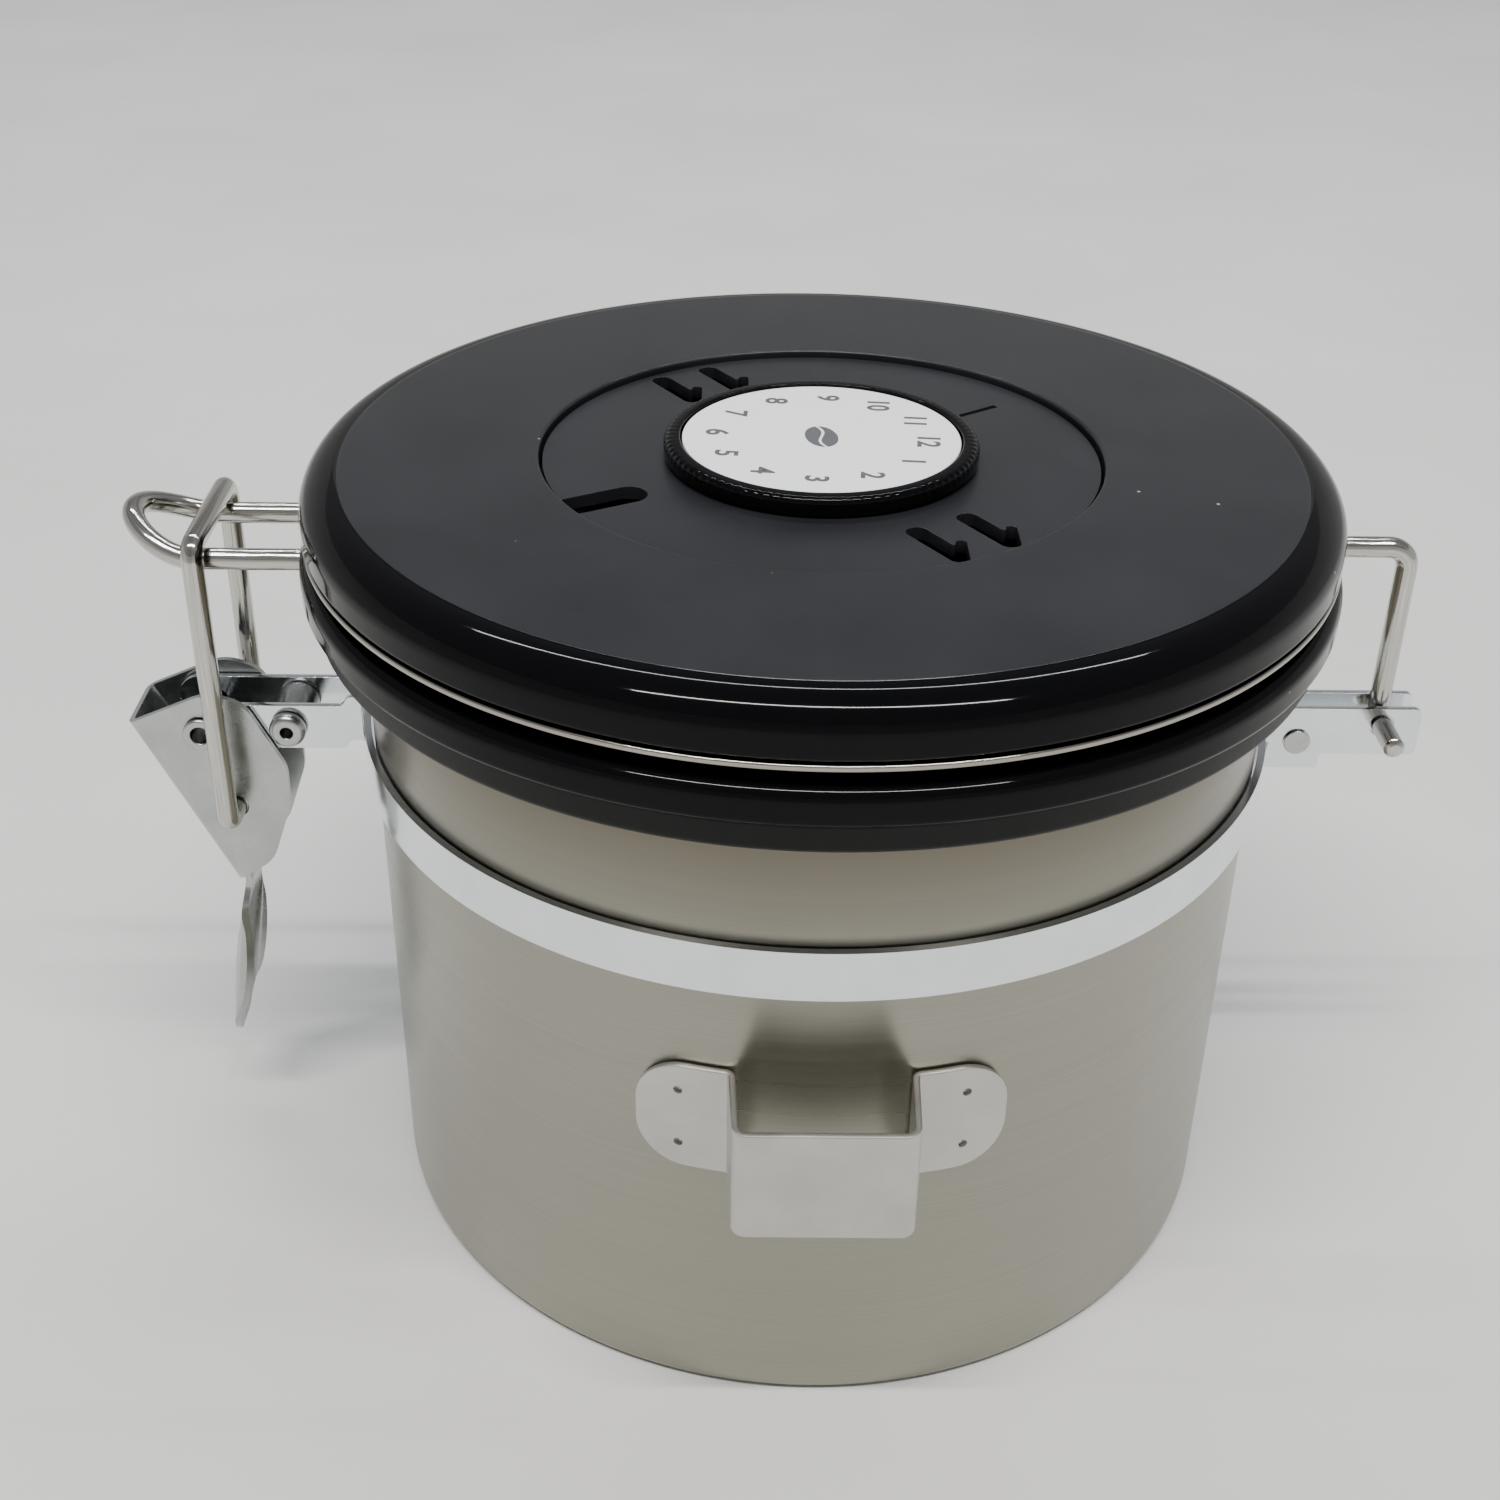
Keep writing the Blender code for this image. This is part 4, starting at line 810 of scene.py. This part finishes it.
def rivets():
    """Two-headed rivets along Y with domed heads, one of them solid, and the clamp's sleeve."""
    ear_face = LATCH_EAR_Y + STRAP_SHEET / 2
    cheek_face = ear_face + TOUCH + LEVER_SHEET
    hinge_face = HINGE_EAR_Y + STRAP_SHEET / 2
    kinds = (("lever_pivot", PIVOT.x, PIVOT.z, 0.0025, cheek_face, 0.0006, 0.00135),
             ("latch_clamp", -LATCH_CLAMP_X, LATCH_CLAMP_Z, 0.0026, ear_face, 0.0016, 0.0009),
             ("hinge_clamp", HINGE_CLAMP_X, HINGE_CLAMP_Z, 0.0019, hinge_face, 0.0002, 0))
    for name, x, z, head, face, rise, bore in kinds:
        seat = face + TOUCH
        half = [((bore, seat + rise), 0.0002 if bore else 0), ((head, seat + rise), rise * 0.6),
                ((head, seat), 0.0001), ((RIVET_RADIUS, seat), 0)]
        rivet = lathe(name, half + mirrored(half, 1), closed=bool(bore), steps=48)
        finish_piece(turn_on_y(rivet, x, z), "canister", "zinc_steel", f"{name}_rivet")
    half = LATCH_EAR_Y - STRAP_SHEET / 2 - TOUCH
    bore = RIVET_RADIUS + TOUCH
    outer = 0.0030
    corners = [((bore, half), 0.0002), ((outer, half), 0.0004), ((outer, -half), 0.0004),
               ((bore, -half), 0.0002)]
    sleeve = turn_on_y(lathe("clamp_sleeve", corners, steps=48), -LATCH_CLAMP_X, LATCH_CLAMP_Z)
    finish_piece(sleeve, "canister", "zinc_steel", "latch_clamp_spacer")


def scoop_bracket():
    """Strip with rounded ends, bent to a pocket and spot-welded to the wall."""
    sheet = 0.0009
    half = 0.0113 - sheet / 2
    end = 0.0066
    weld_radius = 0.0006
    inner = BODY_RADIUS + TOUCH + sheet / 2
    corner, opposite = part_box("scoop_bracket")
    front = -corner.y - sheet / 2
    outer_angle = math.asin(min(opposite.x / inner, 1))
    root_angle = math.asin((half + sheet / 2) / inner)
    flange = arc(inner, -math.pi / 2 - outer_angle, -math.pi / 2 - root_angle)
    left = [(point, 0) for point in flange[:-1]]
    left += [(flange[-1], 0.0010), (Vector((-half, -front)), 0.0016)]
    path = rounded(left + mirrored(left, 0))
    length = lengths(path)[-1]
    corners = [((0, corner.z), end), ((length, corner.z), end), ((length, opposite.z), end),
               ((0, opposite.z), end)]
    bracket = fold(plate("scoop_pocket", rounded(corners, True), sheet, 0.00022), path)
    pits = []
    for x in (-0.0178, 0.0178):
        out = polar(1, -math.pi / 2 + math.asin(x / inner)).to_3d()
        for rise in (-0.00425, 0.00425):
            face = out * (inner + sheet / 2) + Vector((0, 0, (corner.z + opposite.z) / 2 + rise))
            pits.append(drum("weld_pit", weld_radius, face - out * weld_radius, face + out * 0.001))
    finish_piece(cut(bracket, pits), "canister", "satin_steel", "scoop_bracket")


# ---- latch
CHEEK_OUTER = 0.0059
WEB_TOP = Vector((-0.0105, 0.0017))      # from the pivot, in X and Z
WEB_END = Vector((0.0022, -0.0256))
CHEEK_CORNERS = [((0.0080, -0.0218), 0.0060), ((0.0115, -0.0119), 0.0070),
                 ((0.0116, -0.0057), 0.0060), ((0.0065, 0.0047), 0.0045),
                 ((0.0014, 0.0064), 0.0060)]
FOLD_RADIUS = 0.0010
TAB_HALF = 0.0072
TAB_NECK = 0.0034
TAB_LENGTH = 0.0313
TAB_TILT = math.radians(9.6)
TAB_BEND = 0.0030
TAB_STEM = 0.0040          # the tab's dish begins this far down
TAB_DISH = 0.0026
TAB_DISH_DEEP = 0.0012


def latch_lever():
    """Flat blank with two cheeks, a web and a leaf-shaped tab, folded to a channel."""
    down = (WEB_END - WEB_TOP).normalized()
    inward = Vector((-down.y, down.x))
    length = (WEB_END - WEB_TOP).length
    flat_half = CHEEK_OUTER - LEVER_SHEET / 2 - FOLD_RADIUS

    def to_blank(point):
        """Blank coordinates of a cheek point given from the pivot."""
        offset = Vector(point) - WEB_TOP
        depth = offset.dot(inward) - LEVER_SHEET / 2
        return flat_half + math.pi / 2 * FOLD_RADIUS + depth - FOLD_RADIUS, -offset.dot(down)

    tab = [((TAB_NECK * 0.9, -length - TAB_LENGTH), 0.0022),
           ((TAB_HALF, -length - TAB_LENGTH * 0.78), 0.0060),
           ((TAB_HALF, -length - TAB_LENGTH * 0.30), 0.0050),
           ((TAB_NECK, -length - TAB_LENGTH * 0.10), 0.0020), ((TAB_NECK, -length), 0.0012)]
    right = tab + [((flat_half, -length), 0.0010)]
    right += [(to_blank(corner), fillet) for corner, fillet in CHEEK_CORNERS]
    right.append(((flat_half, -0.0004), 0.002))
    holes = []
    for place, radius in ((Vector((0, 0, 0)), RIVET_RADIUS), (BAIL - PIVOT, WIRE_RADIUS)):
        x, y = to_blank((place.x, place.z))
        holes += [circle((x, y), radius + RUN), circle((-x, y), radius + RUN)]
    outline = rounded(right + mirrored(right, 0), closed=True)
    flat = plate("lever", outline, LEVER_SHEET, 0.00018, holes)
    work = opened(flat.data)
    folds = [flat_half + FOLD_RADIUS * math.radians(angle) for angle in range(0, 91, 15)]
    cut_at(work, folds + [-place for place in folds], (1, 0, 0))
    cut_at(work, [0.0012 * number - 0.0066 for number in range(1, 11)], (1, 0, 0))
    start = -length - 0.0004
    turn = TAB_TILT + math.atan2(down.x, -down.y)
    bends = [start - TAB_BEND * turn * number / 8 for number in range(9)]
    leaf = [bends[-1] - TAB_LENGTH * 0.88 * number / 12 for number in range(1, 12)]
    cut_at(work, bends + leaf, (0, 1, 0))
    for vert in work.verts:
        x, y, lift = vert.co
        side = math.copysign(1, x)
        swing = min(max((abs(x) - flat_half) / FOLD_RADIUS, 0), math.pi / 2)
        past = max(abs(x) - flat_half - FOLD_RADIUS * math.pi / 2, 0)
        radius = FOLD_RADIUS - lift
        across = side * (min(abs(x), flat_half) + radius * math.sin(swing))
        depth = FOLD_RADIUS - radius * math.cos(swing) + past
        along_web = -y
        over = max(start - y, 0)
        if over > 0:
            bent = min(over / TAB_BEND, turn)
            rest = over - bent * TAB_BEND
            part = min(max((over - TAB_STEM) / (TAB_LENGTH - TAB_STEM), 0), 1)
            dish = TAB_DISH * min(abs(x) / TAB_HALF, 1) ** 2 - TAB_DISH_DEEP
            reach = TAB_BEND + lift + dish * math.sin(math.pi * part)
            depth = reach * math.cos(bent) - TAB_BEND - rest * math.sin(bent)
            along_web = reach * math.sin(bent) + rest * math.cos(bent) - start
        place = WEB_TOP + down * along_web + inward * (LEVER_SHEET / 2 + depth)
        vert.co = (PIVOT.x + place.x, across, PIVOT.z + place.y)
    finish_piece(remake(flat, work), "lever", "zinc_steel", "latch_lever")


def latch_bail():
    """Wire loop: its feet turn in the lever's cheeks and its bar lies over the hook's arms."""
    bend = 0.0022
    leg = ARM_SPREAD + 2 * WIRE_RADIUS + TOUCH
    bar = WIRE_Z + 2 * WIRE_RADIUS + 0.0001
    foot = 0.0037
    half = [((BAIL.x, -foot, BAIL.z), 0), ((BAIL.x, -leg, BAIL.z), bend),
            ((BAIL.x + 0.0002, -leg, bar), bend)]
    loop = tube("bail_wire", half + mirrored(half, 1))
    finish_piece(loop, "bail", "steel_wire", "latch_bail")


# ---- lid wires
def hook_wire():
    """Wire hook whose raised nose stands out from the lid."""
    nose_reach = 0.0087
    nose_rise = 0.0040
    steps = 30
    junction = math.pi + math.asin(ARM_SPREAD / WIRE_CIRCLE)
    inside = arc(WIRE_CIRCLE, math.pi + math.radians(52), junction)
    near = [((x, y, WIRE_Z), 0) for x, y in inside[:-2]]
    near += [((*inside[-1], WIRE_Z), WIRE_CORNER), ((-ARM_END, -ARM_SPREAD, WIRE_Z), 0)]
    nose = []
    for number in range(1, steps):
        angle = math.pi * number / steps
        x = -ARM_END - nose_reach * math.sin(angle)
        z = WIRE_Z + nose_rise * math.sin(angle) ** 1.5
        nose.append(((x, -ARM_SPREAD * math.cos(angle), z), 0))
    finish_piece(tube("hook", near + nose + mirrored(near, 1)), "lid", "steel_wire", "hook_wire")


def hinge_wire():
    """Wire hinge: an arm, a leg between the hinge ears and a foot through the front one."""
    inside = arc(WIRE_CIRCLE, math.radians(68), 0)
    corners = [((x, y, WIRE_Z), 0) for x, y in inside[:-2]]
    corners += [((inside[-1].x, 0, WIRE_Z), WIRE_CORNER), ((HINGE.x, 0, WIRE_Z), 0.0030),
                ((HINGE.x, 0, HINGE.z), 0.0017), ((HINGE.x, low("hinge_wire").y, HINGE.z), 0)]
    finish_piece(tube("lid_hinge_wire", corners), "lid", "steel_wire", "hinge_wire")


# ---- lid shells
def screw_places():
    reach = SCREW_CIRCLE * math.sqrt(0.5)
    return [(reach * x, reach * y) for x, y in ((1, 1), (-1, 1), (-1, -1), (1, -1))]


def lid_gasket():
    """Seal with a groove for the rim and a lip inside the neck."""
    bore = SPIGOT_RADIUS + TOUCH
    groove = RIM_RADIUS + 2 * TOUCH
    rest = RIM_TOP + TOUCH
    corners = [((bore, GASKET_TOP), 0.0002), ((GASKET_RADIUS, GASKET_TOP), 0.0006),
               ((GASKET_RADIUS, GASKET_LOW), 0.0008), ((groove, GASKET_LOW), 0.0006),
               ((groove, rest), 0.0003), ((GASKET_LIP, rest), 0.0003),
               ((GASKET_LIP, GASKET_LIP_LOW), 0.0008), ((bore, GASKET_LIP_LOW), 0.0004)]
    finish_piece(lathe("seal", corners), "lid", "black_rubber", "lid_gasket")


def lid_lower_ring():
    """Gloss ring with slots where the wires come out."""
    spigot_low = low("lid_lower_ring").z
    collar_top = high("lid_lower_ring").z
    bore = 0.0092
    over = 0.001               # how far a cutter passes what it cuts
    corners = [((bore, RING_TOP), 0.0002), ((COLLAR_BORE, RING_TOP), 0),
               ((COLLAR_BORE, collar_top), 0.0002), ((COLLAR_OUTER, collar_top), 0.0002),
               ((COLLAR_OUTER, RING_TOP), 0.0003), ((RING_RADIUS, RING_TOP), 0.0019),
               ((RING_RADIUS, RING_LOW), 0.0009), ((RING_CHANNEL, RING_LOW), 0.0003),
               ((RING_CHANNEL, RING_PLATE_LOW), 0.0004), ((SPIGOT_RADIUS, RING_PLATE_LOW), 0.0004),
               ((SPIGOT_RADIUS, spigot_low), 0.0004), ((SPIGOT_BORE, spigot_low), 0.0004),
               ((SPIGOT_BORE, RING_PLATE_LOW), 0.0006), ((bore, RING_PLATE_LOW), 0.0002)]
    ring = lathe("wire_ring", corners, steps=240)
    half = WIRE_RADIUS + TOUCH
    cutters = []
    for side, y in ((-1, -ARM_SPREAD), (-1, ARM_SPREAD), (1, 0.0)):
        ends = sorted((side * (RING_CHANNEL - 2 * WIRE_RADIUS), side * (RING_RADIUS + over)))
        cutters.append(block("wire_slot", (ends[0], y - half, RING_LOW - over),
                             (ends[1], y + half, WIRE_Z + half)))
    for x, y in screw_places():
        cutters.append(drum("screw_hole", 0.0017, (x, y, RING_PLATE_LOW - over),
                            (x, y, RING_TOP + over), 32))
    finish_piece(cut(ring, cutters), "lid", "gloss_black", "lid_lower_ring")


def lid_pan():
    """Shallow dish whose lip shows as a bright line between ring and cover."""
    bore = 0.0120
    inner = PAN_RADIUS - WALL
    lip_top = PAN_LIP_TOP - TOUCH
    corners = [((bore, PAN_TOP), 0), ((inner, PAN_TOP), 0), ((inner, lip_top), 0.0001),
               ((PAN_RADIUS, lip_top), 0.0003), ((PAN_RADIUS, PAN_LOW), 0.0005),
               ((bore, PAN_LOW), 0)]
    finish_piece(lathe("lid_dish", corners, steps=240), "lid", "bright_steel", "lid_pan",
                 finish="pan_steel")


def lid_cover():
    """Outer cover: satin top, fine step, and a glossy rolled edge."""
    edge_centre = COVER_TOP - COVER_EDGE_DROP
    run = PAN_RADIUS - COVER_FLAT
    skirt = PAN_RADIUS - 0.0026
    ledge = DISC_RADIUS - 0.0031
    ledge_top = DISC_LOW - TOUCH
    ledge_low = ledge_top - 0.0016
    hub = WELL_RADIUS + 0.0026
    step = 0.00007
    corners = [((ledge, ledge_top), 0), ((WELL_RADIUS, ledge_top), 0.0002),
               ((WELL_RADIUS, COVER_TOP), 0.00040), ((COVER_FLAT - 0.0003, COVER_TOP), 0),
               ((COVER_FLAT - 0.00012, COVER_TOP - step / 3), 0),
               ((COVER_FLAT, COVER_TOP - step), 0)]
    for number in range(1, 25):
        angle = math.radians(90 - 90 * number / 24)
        height = edge_centre + (COVER_EDGE_DROP - step) * math.sin(angle)
        corners.append(((COVER_FLAT + run * math.cos(angle), height), 0))
    corners += [((PAN_RADIUS, edge_centre - 0.0005), 0), ((PAN_RADIUS, PAN_LIP_TOP), 0.0007),
                ((skirt, PAN_LIP_TOP), 0.0003), ((skirt, edge_centre), 0),
                ((COVER_FLAT, COVER_UNDER), 0), ((hub, COVER_UNDER), 0), ((hub, ledge_low), 0),
                ((ledge, ledge_low), 0)]
    cover = lathe("lid_top", corners, steps=288)
    finish_piece(cover, "lid", "satin_black", "lid_cover")
    cover.data.materials.append(FINISHES["gloss_black"])
    for face in cover.data.polygons:
        x, y, z = face.center
        on_top = math.hypot(x, y) < COVER_FLAT - 0.0002 and z > COVER_UNDER
        face.material_index = 0 if on_top else 1


def lid_screws():
    """Pan-head screws with a cross slot, heads down."""
    shank = 0.0014
    head = 0.0030
    seat = RING_PLATE_LOW - TOUCH
    head_low = seat - 0.0018
    tip = PAN_TOP + TOUCH + 0.0040
    reach = 0.0016
    across = 0.00035
    for number, (x, y) in enumerate(screw_places(), start=1):
        corners = [((0, tip), 0), ((shank, tip), 0.0005), ((shank, seat), 0), ((head, seat), 0),
                   ((head, head_low), 0.0011), ((0, head_low), 0)]
        screw = lathe(f"pan_head_screw_{number}", corners, closed=False, steps=48)
        cross = [block("cross", (-long, -wide, head_low - 0.001), (long, wide, head_low + 0.0008))
                 for long, wide in ((reach, across), (across, reach))]
        screw = cut(screw, cross)
        screw.data.transform(Matrix.Translation((x, y, 0)) @ Matrix.Rotation(0.4 * number, 4, "Z"))
        finish_piece(screw, "lid", "zinc_steel", f"lid_screw_{number}")


# ---- vent disc
VENT_LENGTH = 0.0110
VENT_WIDTH = 0.0029
HOOK_LENGTH = 0.0052
HOOK_WIDTH = 0.0014
VENT_AZIMUTH = math.radians(-57)
VENT_CENTRE = 0.0307
VENT_SPREAD = 0.0080
FINGER_AZIMUTH = math.radians(-151)
FINGER_LENGTH = 0.0110
FINGER_WIDTH = 0.0050
POINTER_AZIMUTH = math.radians(35.5)
POINTER_END = 0.0314
POINTER_HALF = 0.00045
SHAFT_HOLE = 0.0048


def hooked_slot(centre, direction):
    """Outline of a vent slot: a round-ended stem and a narrow leg turned back towards +Y."""
    side = Vector((-direction.y, direction.x)) * VENT_WIDTH / 2
    half = direction * VENT_LENGTH / 2
    stem = VENT_WIDTH * 0.49
    hook = HOOK_WIDTH * 0.48
    leg_left = centre.x + half.x - direction.x * VENT_WIDTH / 2 + VENT_WIDTH / 2 - HOOK_WIDTH
    leg_right = leg_left + HOOK_WIDTH
    foot = centre + half - direction * VENT_WIDTH / 2
    leg_top = foot.y + HOOK_LENGTH - HOOK_WIDTH / 2
    upper = centre + side
    meet = upper + direction * ((leg_left - upper.x) / direction.x)
    corners = [(centre - half + side, stem), (centre - half - side, stem),
               (centre + half - side, stem), ((leg_right, foot.y - VENT_WIDTH * 0.45), 0.0009),
               ((leg_right, leg_top), hook), ((leg_left, leg_top), hook), (meet, 0.0003)]
    return rounded(corners, True, math.radians(20))


def vent_disc():
    """Snap-in disc with hooked vent slots, a finger slot at its edge and the date pointer."""
    direction = polar(1, VENT_AZIMUTH)
    across = Vector((-direction.y, direction.x))
    slots = [circle((0, 0), SHAFT_HOLE, 48)]
    for end in (-1, 1):
        for side in (-1, 1):
            centre = (direction * VENT_CENTRE + across * side * VENT_SPREAD / 2) * end
            slots.append(hooked_slot(centre, direction))
    half = FINGER_WIDTH / 2
    notch = math.asin(half / DISC_RADIUS)
    start = FINGER_AZIMUTH + notch
    rim = arc(DISC_RADIUS, start, start + 2 * math.pi - 2 * notch)
    inward = -polar(1, FINGER_AZIMUTH)
    turn = Vector((-inward.y, inward.x)) * half
    end = -inward * (DISC_RADIUS - FINGER_LENGTH)
    corners = [(rim[-1], 0), (end + turn, half * 0.98), (end - turn, half * 0.98), (rim[0], 0)]
    outline = rim + rounded(corners, step=math.radians(12))[1:-1]
    disc = plate("vent_plate", outline, DISC_TOP - DISC_LOW, 0.00035, slots)
    disc.data.transform(Matrix.Translation((0, 0, (DISC_TOP + DISC_LOW) / 2)))
    groove = block("pointer_groove", (0.0, -POINTER_HALF, DISC_TOP - 0.0004),
                   (POINTER_END, POINTER_HALF, DISC_TOP + 0.001))
    groove.data.transform(Matrix.Rotation(POINTER_AZIMUTH, 4, "Z"))
    finish_piece(cut(disc, [groove]), "lid", "satin_black", "vent_disc")


# ---- date dial
RIBS = 96
RIB_DEPTH = 0.00010
SHOULDER = 0.0014
DIAL_TURN = math.radians(-5)
NUMBER_RADIUS = 0.0142
NUMBER_SIZE = 0.0043
BEAN_TURN = math.radians(14)


def date_knob():
    """Gloss knob; its shoulder is finely ribbed for grip."""
    well = DIAL_RADIUS + TOUCH
    floor = DIAL_LOW - TOUCH
    shaft = 0.0045
    tip = low("date_knob").z

    def ribbed(angle, radius, height):
        on_shoulder = radius > KNOB_RADIUS - SHOULDER and height > KNOB_TOP - SHOULDER
        depth = RIB_DEPTH if on_shoulder else 0
        return radius - depth * (0.5 - 0.5 * math.cos(RIBS * angle))

    corners = [((0, floor), 0), ((well, floor), 0.0001), ((well, KNOB_TOP), 0.0002),
               ((KNOB_RADIUS, KNOB_TOP), 0.0010), ((KNOB_RADIUS, KNOB_TOP - 0.0015), 0),
               ((KNOB_RADIUS, KNOB_LOW), 0.0005), ((shaft, KNOB_LOW), 0), ((shaft, tip), 0.0003),
               ((0, tip), 0)]
    knob = lathe("dial_knob", corners, closed=False, steps=8 * RIBS, ripple=ribbed, sharp=50)
    finish_piece(knob, "dial", "gloss_black", "date_knob")


def dial_face():
    """Thin printed card in the knob's well."""
    corners = [((0, DIAL_TOP), 0), ((DIAL_RADIUS, DIAL_TOP), 0.00015),
               ((DIAL_RADIUS, DIAL_LOW), 0.0001), ((0, DIAL_LOW), 0)]
    finish_piece(lathe("dial_card", corners, closed=False), "dial", "dial_white", "dial_face")


def printed_numbers():
    """Numbers 1 to 12 round the dial, all with their tops towards the hinge."""
    pieces = []
    for number in range(1, 13):
        place = polar(1, -math.radians(30 * number) + DIAL_TURN).to_3d() * NUMBER_RADIUS
        place.z = DIAL_TOP + MARK
        turn = Matrix.Rotation(DIAL_TURN - math.pi / 2, 4, "Z")
        name = f"number_{number}"
        text = adjust(bpy.data.curves.new(name, "FONT"), body=str(number), size=NUMBER_SIZE,
                      align_x="CENTER", align_y="CENTER", extrude=MARK / 2, resolution_u=3,
                      offset=0.00010, space_character=0.95)
        pieces.append(settle(placed(name, text, Matrix.Translation(place) @ turn)))
    return pieces


def bean_mark():
    """Plain bean: two halves of an oval, parted by a wavy gap."""
    pieces = []
    wide = 0.0022
    tall = 0.0036
    gap = 0.0002
    sway = 0.0005
    for side in (-1, 1):
        rim = [Vector((side * wide * math.cos(angle), tall * math.sin(angle)))
               for angle in (math.radians(-86 + 172 * number / 24) for number in range(25))]
        wave = [Vector((side * gap + sway * math.sin(math.pi * y / tall), y))
                for y in (tall * (0.94 - 1.88 * number / 16) for number in range(17))]
        half = plate("bean_half", rim + wave, MARK, MARK / 4)
        turn = Matrix.Rotation(DIAL_TURN + BEAN_TURN, 4, "Z")
        half.data.transform(Matrix.Translation((0, 0, DIAL_TOP + MARK)) @ turn)
        pieces.append(half)
    return pieces


def dial_print():
    """All the dial's ink, as one piece."""
    work = bmesh.new()
    for piece in printed_numbers() + bean_mark():
        work.from_mesh(piece.data)
        bpy.data.objects.remove(piece, do_unlink=True)
    finish_piece(link("dial_numbers", work), "dial", "dial_white", finish="dial_ink")


# ---- grille, and the pieces that keep their frame shape
def filter_grille():
    """Snap-on cup under the valve, with a ring of round holes."""
    sheet = 0.0009
    corner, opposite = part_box("filter_grille")
    outer = opposite.x
    inner = outer - sheet
    floor = corner.z
    floor_top = floor + sheet
    corners = [((0, floor_top), 0), ((inner, floor_top), 0.0003), ((inner, opposite.z), 0.0002),
               ((outer, opposite.z), 0.0003), ((outer, floor), 0.0008), ((0, floor), 0)]
    cup = lathe("grille_cup", corners, closed=False, steps=96)
    holes = []
    for radius, count in ((0.0042, 5), (0.0088, 9)):
        for number in range(count):
            x, y = polar(radius, 2 * math.pi * (number + 1 / 3) / count)
            holes.append(drum("grille_hole", 0.0016, (x, y, floor - 0.001),
                              (x, y, floor_top + 0.0005)))
    finish_piece(cut(cup, holes), "lid", "satin_black", "filter_grille", finish="moulded_black")


def kept_nodes():
    """Hidden pieces keep their frame shape and get a finish."""
    finishes = {"dial_clip": "zinc_steel", "valve_body": "moulded_black",
                "valve_guard": "moulded_black", "valve_flap": "clear_silicone",
                "filter_pad": "filter_felt"}
    for node, finish in finishes.items():
        for slot in frame["nodes"][node].material_slots:
            slot.material = FINISHES[finish]


# ---- stage, light and camera
def stage():
    """Pale paper that runs level and then curves up all round."""
    reach = 2.1
    paper = Finish("pale_paper")
    patches = paper.effect("clouds", Scale=9.0)
    paper.colour(patches, (0.64, 0.64, 0.625), (0.70, 0.70, 0.685))
    paper.roughness(patches, 0.75, 0.9)
    backdrop = lathe("paper_cove", [((reach, 0.95), 0), ((reach, 0), 0.6), ((0, 0), 0)],
                     closed=False, steps=96, sharp=80)
    backdrop.data.materials.append(paper.material)


def strip_light(name, place, width, power, colour):
    """Long thin light that looks at the middle of the canister."""
    data = adjust(bpy.data.lights.new(name, "AREA"), shape="RECTANGLE", size=1.5, size_y=width,
                  energy=power, color=colour)
    aim = Vector((0, 0, 0.06)) - Vector(place)
    turn = aim.to_track_quat("-Z", "Y").to_matrix().to_4x4()
    placed(name, data, Matrix.Translation(place) @ turn)


def lights():
    """Two strips over a dim, even room."""
    world = bpy.context.scene.world or bpy.data.worlds.new("room")
    bpy.context.scene.world = world
    world.use_nodes = True
    background = world.node_tree.nodes["Background"]
    background.inputs["Color"].default_value = (0.95, 0.96, 1.0, 1.0)
    background.inputs["Strength"].default_value = 0.28
    strip_light("tube_back", (0.0, 0.80, 1.40), 0.03, 12, (0.88, 0.94, 1.0))
    strip_light("tube_front", (0.0, -0.50, 1.50), 0.04, 34, (1.0, 0.98, 0.95))


def camera():
    """Above the front, a little to the left, looking down at the lid."""
    right = Vector((0.9999095, -0.0032335, 0.0130587))
    up = Vector((-0.0094972, 0.5178427, 0.8554232))
    back = Vector((-0.0095283, -0.8554698, 0.5177651))
    turn = Matrix((right, up, back)).transposed().to_4x4()
    place = Matrix.Translation((-0.011718, -0.248490, 0.214781))
    data = adjust(bpy.data.cameras.new("camera"), lens=47.45, sensor_width=36.0)
    bpy.context.scene.camera = placed("camera", data, place @ turn)


for build in (camera, lights, stage, can_shell, can_base, neck_straps, rivets, scoop_bracket,
              latch_lever, latch_bail, hook_wire, hinge_wire, lid_gasket, lid_lower_ring, lid_pan,
              lid_cover, lid_screws, vent_disc, date_knob, dial_face, dial_print, filter_grille,
              kept_nodes):
    build()
